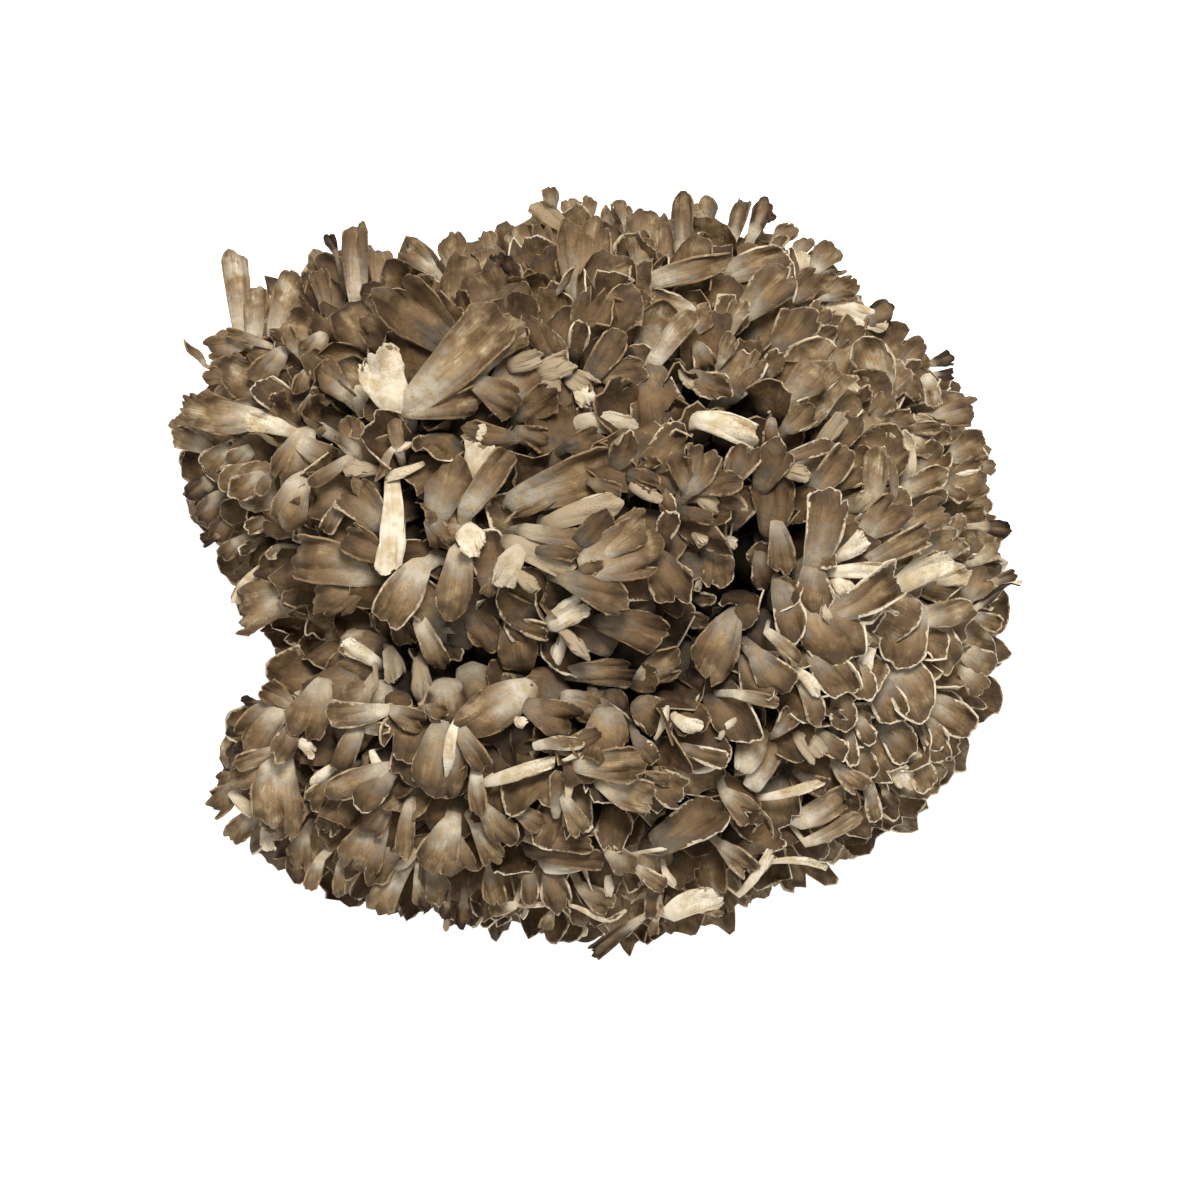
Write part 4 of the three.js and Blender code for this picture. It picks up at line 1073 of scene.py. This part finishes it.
def cap_skin():
    """Dry cap skin: pressed fibres on grey-brown, paler towards the stalk, with a thin pale rim."""
    material, tree, shader = start_material("dry_cap_skin")
    tone, cap, rim, edge = (attribute(tree, n) for n in ("tone", "cap", "rim", "edge"))
    fibre = fibre_pattern(tree, tone, 0.7, 12)
    streak = fibre_pattern(tree, tone, 5.0, 18)
    cloud = spots(tree, 9)
    crease = spots(tree, 5, 4)
    fleck = spots(tree, 2.0, 5)
    light = sums(tree, "ADD", sums(tree, "MULTIPLY", between(tree, fibre, 0.3, 0.7), 0.11),
                 sums(tree, "MULTIPLY", between(tree, streak, 0.3, 0.7), 0.08))
    light = sums(tree, "ADD", light, sums(tree, "MULTIPLY", between(tree, cloud, 0.3, 0.7), 0.34))
    light = sums(tree, "ADD", light, sums(tree, "MULTIPLY", tone, 0.45))
    skin = add(tree, "ShaderNodeValToRGB", {"Fac": light}, stops=[
        (0.13, "#291d12"), (0.38, "#503e2b"), (0.59, "#7a6446"), (0.76, "#aa9370"), (0.95, "#f0e6d0")])
    skin = skin.outputs["Color"]
    turn = sums(tree, "ADD", cap, sums(tree, "MULTIPLY", sums(tree, "SUBTRACT", streak, 0.5), 0.5))
    turn = sums(tree, "ADD", turn, sums(tree, "MULTIPLY", sums(tree, "SUBTRACT", cloud, 0.5), 0.8))
    ochre = sums(tree, "MULTIPLY", between(tree, turn, 0.25, 0.5), between(tree, turn, 0.85, 0.55))
    skin = mix(tree, sums(tree, "MULTIPLY", ochre, 0.22), skin, "#b58d5c")
    bare = between(tree, turn, 0.12, 0.70, 1.0, 0.0)
    bare = sums(tree, "MULTIPLY", bare, between(tree, tone, 0.25, 0.95, 0.10, 0.90))
    flesh = mix(tree, between(tree, crease, 0.45, 0.70), "#e6dcc8", "#d2bb95")
    skin = mix(tree, bare, skin, flesh)
    band = sums(tree, "MULTIPLY", between(tree, rim, 0.8, 9.0, 1.0, 0.0), 0.48)
    skin = mix(tree, band, skin, "#4a3726")
    scorch = sums(tree, "MULTIPLY", between(tree, rim, 0.5, 4.5, 1.0, 0.0), between(tree, edge, 0.0, -0.5))
    skin = mix(tree, scorch, skin, "#2a1c12")
    speck = between(tree, fleck, 0.66, 0.74)
    skin = mix(tree, sums(tree, "MULTIPLY", speck, 0.45), skin, "#33241a")
    crack = between(tree, sums(tree, "ABSOLUTE", sums(tree, "SUBTRACT", crease, 0.5)), 0.0, 0.018, 1.0, 0.0)
    skin = mix(tree, sums(tree, "MULTIPLY", crack, 0.30), skin, "#3a2a1c")
    uneven = sums(tree, "ADD", rim, sums(tree, "MULTIPLY", sums(tree, "SUBTRACT", fleck, 0.5), 3.0))
    uneven = sums(tree, "SUBTRACT", uneven, between(tree, edge, 0.2, 1.0, 0.0, 0.4))
    skin = mix(tree, between(tree, uneven, 0.0, 0.5, 0.85, 0.0), skin, margin_colour(tree, edge, cloud))
    # Painted shade: the skin darkens toward near black the deeper it lies between the fronds.
    tree.links.new(painted_shade_by_depth(tree, skin), shader.inputs["Base Color"])
    shader.inputs["Roughness"].default_value = 0.66
    shader.inputs["Specular IOR Level"].default_value = 0.3
    height = sums(tree, "ADD", sums(tree, "MULTIPLY", fibre, 0.7), sums(tree, "MULTIPLY", fleck, 0.5))
    height = sums(tree, "ADD", height, sums(tree, "MULTIPLY", streak, 0.4))
    height = sums(tree, "ADD", height, sums(tree, "MULTIPLY", crease, 2.2))
    bump = add(tree, "ShaderNodeBump", {"Height": height, "Strength": 0.6, "Distance": 0.8 * MM})
    tree.links.new(bump.outputs["Normal"], shader.inputs["Normal"])
    return material


def pore_face():
    """Underside: cream flesh pricked with fine pores, drawn twice as coarse as they are."""
    material, tree, shader = start_material("cream_pore_face")
    cap, tone = attribute(tree, "cap"), attribute(tree, "tone")
    where = add(tree, "ShaderNodeTexCoord").outputs["Object"]
    pores = add(tree, "ShaderNodeTexVoronoi", {"Vector": where, "Scale": 1 / (1.1 * MM)}).outputs["Distance"]
    cloud = spots(tree, 9)
    pit = sums(tree, "MULTIPLY", between(tree, pores, 0.05, 0.50, 1.0, 0.0), between(tree, cap, 0.25, 0.55))
    flesh = mix(tree, between(tree, cloud, 0.35, 0.7), "#efe5d1", "#cbb894")
    flesh = mix(tree, between(tree, tone, 0.97, 0.86, 0.0, 0.85), flesh, "#a39176")
    flesh = mix(tree, between(tree, tone, 0.7, 0.2, 0.0, 0.5), flesh, "#7d6850")
    ochre = between(tree, spots(tree, 6, 5), 0.52, 0.70)
    flesh = mix(tree, sums(tree, "MULTIPLY", ochre, 0.35), flesh, "#a5855a")
    flesh = mix(tree, sums(tree, "MULTIPLY", pit, 0.35), flesh, "#85704f")
    # Painted shade: the pore face darkens toward near black the deeper it lies between the fronds.
    tree.links.new(painted_shade_by_depth(tree, flesh), shader.inputs["Base Color"])
    shader.inputs["Roughness"].default_value = 0.75
    shader.inputs["Specular IOR Level"].default_value = 0.25
    bump = add(tree, "ShaderNodeBump", {"Height": sums(tree, "SUBTRACT", 1.0, pit), "Strength": 0.6,
                                        "Distance": 0.4 * MM})
    tree.links.new(bump.outputs["Normal"], shader.inputs["Normal"])
    return material


def growing_edge():
    """The thin growing margin: bare cream flesh, ochre where it has dried."""
    material, tree, shader = start_material("cream_margin")
    flesh = margin_colour(tree, attribute(tree, "edge"), spots(tree, 3))
    # Painted shade: the margin darkens toward near black the deeper it lies between the fronds.
    tree.links.new(painted_shade_by_depth(tree, flesh), shader.inputs["Base Color"])
    shader.inputs["Roughness"].default_value = 0.7
    return material


def stalk_flesh(name, soil):
    """Tough cream stalk flesh with ochre stains and grains of soil."""
    material, tree, shader = start_material(name)
    cloud = spots(tree, 17)
    grain = spots(tree, 1.6, 6)
    flesh = mix(tree, between(tree, cloud, 0.3, 0.72), "#cbb893", "#94774f")
    dirt = sums(tree, "ADD", grain, sums(tree, "MULTIPLY", cloud, 0.5))
    dirt = between(tree, dirt, 0.84 - soil, 0.98 - soil)
    flesh = mix(tree, sums(tree, "MULTIPLY", dirt, 0.75), flesh, "#4a3826")
    # Painted shade: the stalk flesh darkens toward near black with depth and in its grooves.
    tree.links.new(painted_shade_by_depth(tree, flesh), shader.inputs["Base Color"])
    shader.inputs["Roughness"].default_value = 0.7
    bump = add(tree, "ShaderNodeBump", {"Height": grain, "Strength": 0.6, "Distance": 0.8 * MM})
    tree.links.new(bump.outputs["Normal"], shader.inputs["Normal"])
    return material


SKIN, PORES, MARGIN = cap_skin(), pore_face(), growing_edge()
STALK_FLESH = stalk_flesh("stalk_flesh", 0.0)
STUMP_FLESH = stalk_flesh("soiled_stump_flesh", 0.08)

# ---- turning fronds into pieces --------------------------------------------------------------------


def gather(name, fronds):
    """One mesh of a lobe's fronds, with where each point lies on its frond."""
    points, quads, materials, lay, tones, edges, caps, rims = [], [], [], [], [], [], [], []
    start = 0
    for frond, blank in fronds:
        co, cap, rim = frond.posed(blank)
        points.append(co)
        quads.append(blank.quads + start)
        materials.append(np.ones_like(blank.material) if frond.bare else blank.material)
        flat = np.stack([blank.across * frond.width / 2, blank.along * frond.length * 1.3], -1)
        lay.append(flat[blank.quads.ravel()] * MM)
        tones.append(np.full(len(co), frond.tone))
        edges.append(np.full(len(co), frond.edge))
        caps.append(cap * 0.2 if frond.bare else cap)
        rims.append(rim)
        start += len(co)
    points = np.concatenate(points)
    # deep: how far each point lies under the crown's surface, which the materials turn into painted shade
    deep = buried(points)
    points[:, 2] = np.maximum(points[:, 2], FLOOR_GAP * 0.5)
    mesh = bpy.data.meshes.new(name)
    quads = np.concatenate(quads)
    mesh.from_pydata(to_frame(points).tolist(), [], quads.tolist())
    mesh.uv_layers.new(name="lay").data.foreach_set("uv", np.concatenate(lay).ravel())
    tables = dict(tone=np.concatenate(tones), edge=np.concatenate(edges), cap=np.concatenate(caps),
                  rim=np.concatenate(rims), deep=deep)
    for key, values in tables.items():
        mesh.attributes.new(key, "FLOAT", "POINT").data.foreach_set("value", values)
    mesh.polygons.foreach_set("material_index", np.concatenate(materials))
    mesh.polygons.foreach_set("use_smooth", np.ones(len(quads), bool))
    for material in (SKIN, PORES, MARGIN):
        mesh.materials.append(material)
    mesh.set_sharp_from_angle(angle=math.radians(58))
    mesh.update()
    piece = bpy.data.objects.new(name, mesh)
    bpy.context.scene.collection.objects.link(piece)
    return piece


# ---- the flesh that the fronds grow from -----------------------------------------------------------

FLESH_SEGMENTS = 180
RINGS_PER_ROW = 5
BUNDLES = [(14, 3.0, 3.2), (28, 5.0, 4.8), (56, 4.0, 6.4)]  # stalk bundles: how many, how deep, at which row


def base_ring(radius, height, angle):
    bulge = 1 + sum(deep * np.sin(count * angle + turn) for count, deep, turn in BASE_RIBS)
    x = BASE_MIDDLE[0] + radius * bulge * BASE_WIDE * np.cos(angle)
    y = BASE_MIDDLE[1] + radius * bulge * np.sin(angle)
    return np.stack([x, y, np.full_like(angle, height)], -1)


def flesh_rings(angle):
    """Rings from the middle of the cut face, out along the underside and up inside the crown to its top."""
    rings = [base_ring(0, 0, angle)] + [base_ring(r, z, angle) for r, z in BASE_ROWS]
    belly = base_ring(BASE_ROWS[-1][0], 0, angle)
    edge = root_point(math.radians(FLESH_ROWS[0][0]), angle, FLESH_ROWS[0][1])
    for share, height in UNDERSIDE:
        ring = belly * (1 - share) + edge * share
        ring[:, 2] = height
        rings.append(ring)
    rings.append(edge)
    rings += [cap_point(math.radians(down), angle, depth) for down, depth in FLESH_ROWS[1:]]
    rings.append(cap_point(0.0, angle, FLESH_ROWS[-1][1]))
    return np.array(rings)


def make_flesh():
    """A ball whose rings are drawn out to the flesh's shape, with bundles of stalks along its underside."""
    rows = 1 + len(BASE_ROWS) + len(UNDERSIDE) + len(FLESH_ROWS)
    start_clean()
    bpy.ops.mesh.primitive_uv_sphere_add(segments=FLESH_SEGMENTS, ring_count=rows * RINGS_PER_ROW)
    piece = bpy.context.object
    piece.name = "stem_base_and_flesh"
    mesh = piece.data
    co = np.zeros(len(mesh.vertices) * 3)
    mesh.vertices.foreach_get("co", co)
    co = co.reshape(-1, 3)
    angle = np.arctan2(co[:, 1], co[:, 0])
    row = np.arccos(np.clip(-co[:, 2], -1, 1)) / math.pi * rows
    row = np.round(row * RINGS_PER_ROW) / RINGS_PER_ROW
    rings = flesh_rings(angle)
    low = np.minimum(row.astype(int), rows - 1)
    share = (row - low)[:, None]
    every = np.arange(len(co))
    points = rings[low, every] * (1 - share) + rings[low + 1, every] * share
    painted_groove_shade = np.zeros(len(co))
    for count, deep, middle in BUNDLES:
        ridge = np.abs(np.sin(count / 2 * angle + 1.2 * np.sin(3 * angle + row))) - 0.5
        strength = np.exp(-((row - middle) / 1.3) ** 2) * smooth(1.0, 2.0, row) * smooth(8.0, 7.0, row)
        points[:, 2] -= deep * ridge * strength
        # Painted shade: the grooves between the stalk bundles are darkened through the deep attribute.
        painted_groove_shade += 16 * np.maximum(0.05 - ridge, 0) * strength
    points[:, 2] = np.where(row > 1.5, np.maximum(points[:, 2], 1.0), 0.0)
    mesh.vertices.foreach_set("co", to_frame(points).ravel())
    # deep drives painted shade: depth under the crown on the upper flesh, the painted groove shade on the
    # stump and underside.
    deep = np.where(row > 7, buried(points), 2 + painted_groove_shade)
    mesh.attributes.new("deep", "FLOAT", "POINT").data.foreach_set("value", deep)
    mesh.materials.append(STUMP_FLESH)
    mesh.materials.append(STALK_FLESH)
    for face in mesh.polygons:
        face.material_index = int(row[face.vertices[0]] > 3.3)
        face.use_smooth = True
    mesh.set_sharp_from_angle(angle=math.radians(50))
    mesh.update()
    return piece


pieces = [gather("caps_" + lobe, fronds) for lobe, fronds in grown.items()]
pieces.append(make_flesh())
for piece in pieces:
    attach(piece, "root")
    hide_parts("fruiting_body")

# ---- floor, light and camera ---------------------------------------------------------------------

start_clean()
bpy.ops.mesh.primitive_plane_add(size=40, location=(0, 0, 0))
floor = bpy.context.object
floor.name = "pale_floor"
paper, tree, shader = start_material("backlit_white_paper")
shader.inputs["Base Color"].default_value = linear("#f4f4f3")
shader.inputs["Roughness"].default_value = 0.9
shader.inputs["Specular IOR Level"].default_value = 0.1
shader.inputs["Emission Color"].default_value = linear("#ffffff")
shader.inputs["Emission Strength"].default_value = 0.80
floor.data.materials.append(paper)

world = bpy.data.worlds.new("studio")
bpy.context.scene.world = world
world.use_nodes = True
world.node_tree.nodes["Background"].inputs["Color"].default_value = linear("#fffdfa")
world.node_tree.nodes["Background"].inputs["Strength"].default_value = 0.47


def softbox(name, place, size, power, colour="#ffffff"):
    light = bpy.data.lights.new(name, "AREA")
    light.shape = "RECTANGLE"
    light.size, light.size_y = size
    light.energy = power
    light.color = linear(colour)[:3]
    lamp = bpy.data.objects.new(name, light)
    lamp.location = place
    lamp.rotation_euler = (Vector((0, 0, 0.08)) - Vector(place)).to_track_quat("-Z", "Y").to_euler()
    bpy.context.scene.collection.objects.link(lamp)


softbox("key_softbox", (0.15, 0.5, 1.9), (0.6, 0.6), 32, "#fffaf2")

camera_data = bpy.data.cameras.new("studio_camera")
camera_data.lens = VIEW_LENS
camera_data.sensor_width = VIEW_LENS * VIEW_WIDTH / VIEW_DISTANCE
camera_data.clip_end = 20
camera = bpy.data.objects.new("studio_camera", camera_data)
camera.location = to_frame(EYE)
camera.rotation_euler = Vector(VIEW_BACK).to_track_quat("Z", "Y").to_euler()
bpy.context.scene.collection.objects.link(camera)
bpy.context.scene.camera = camera
bpy.context.scene.view_settings.view_transform = "Standard"
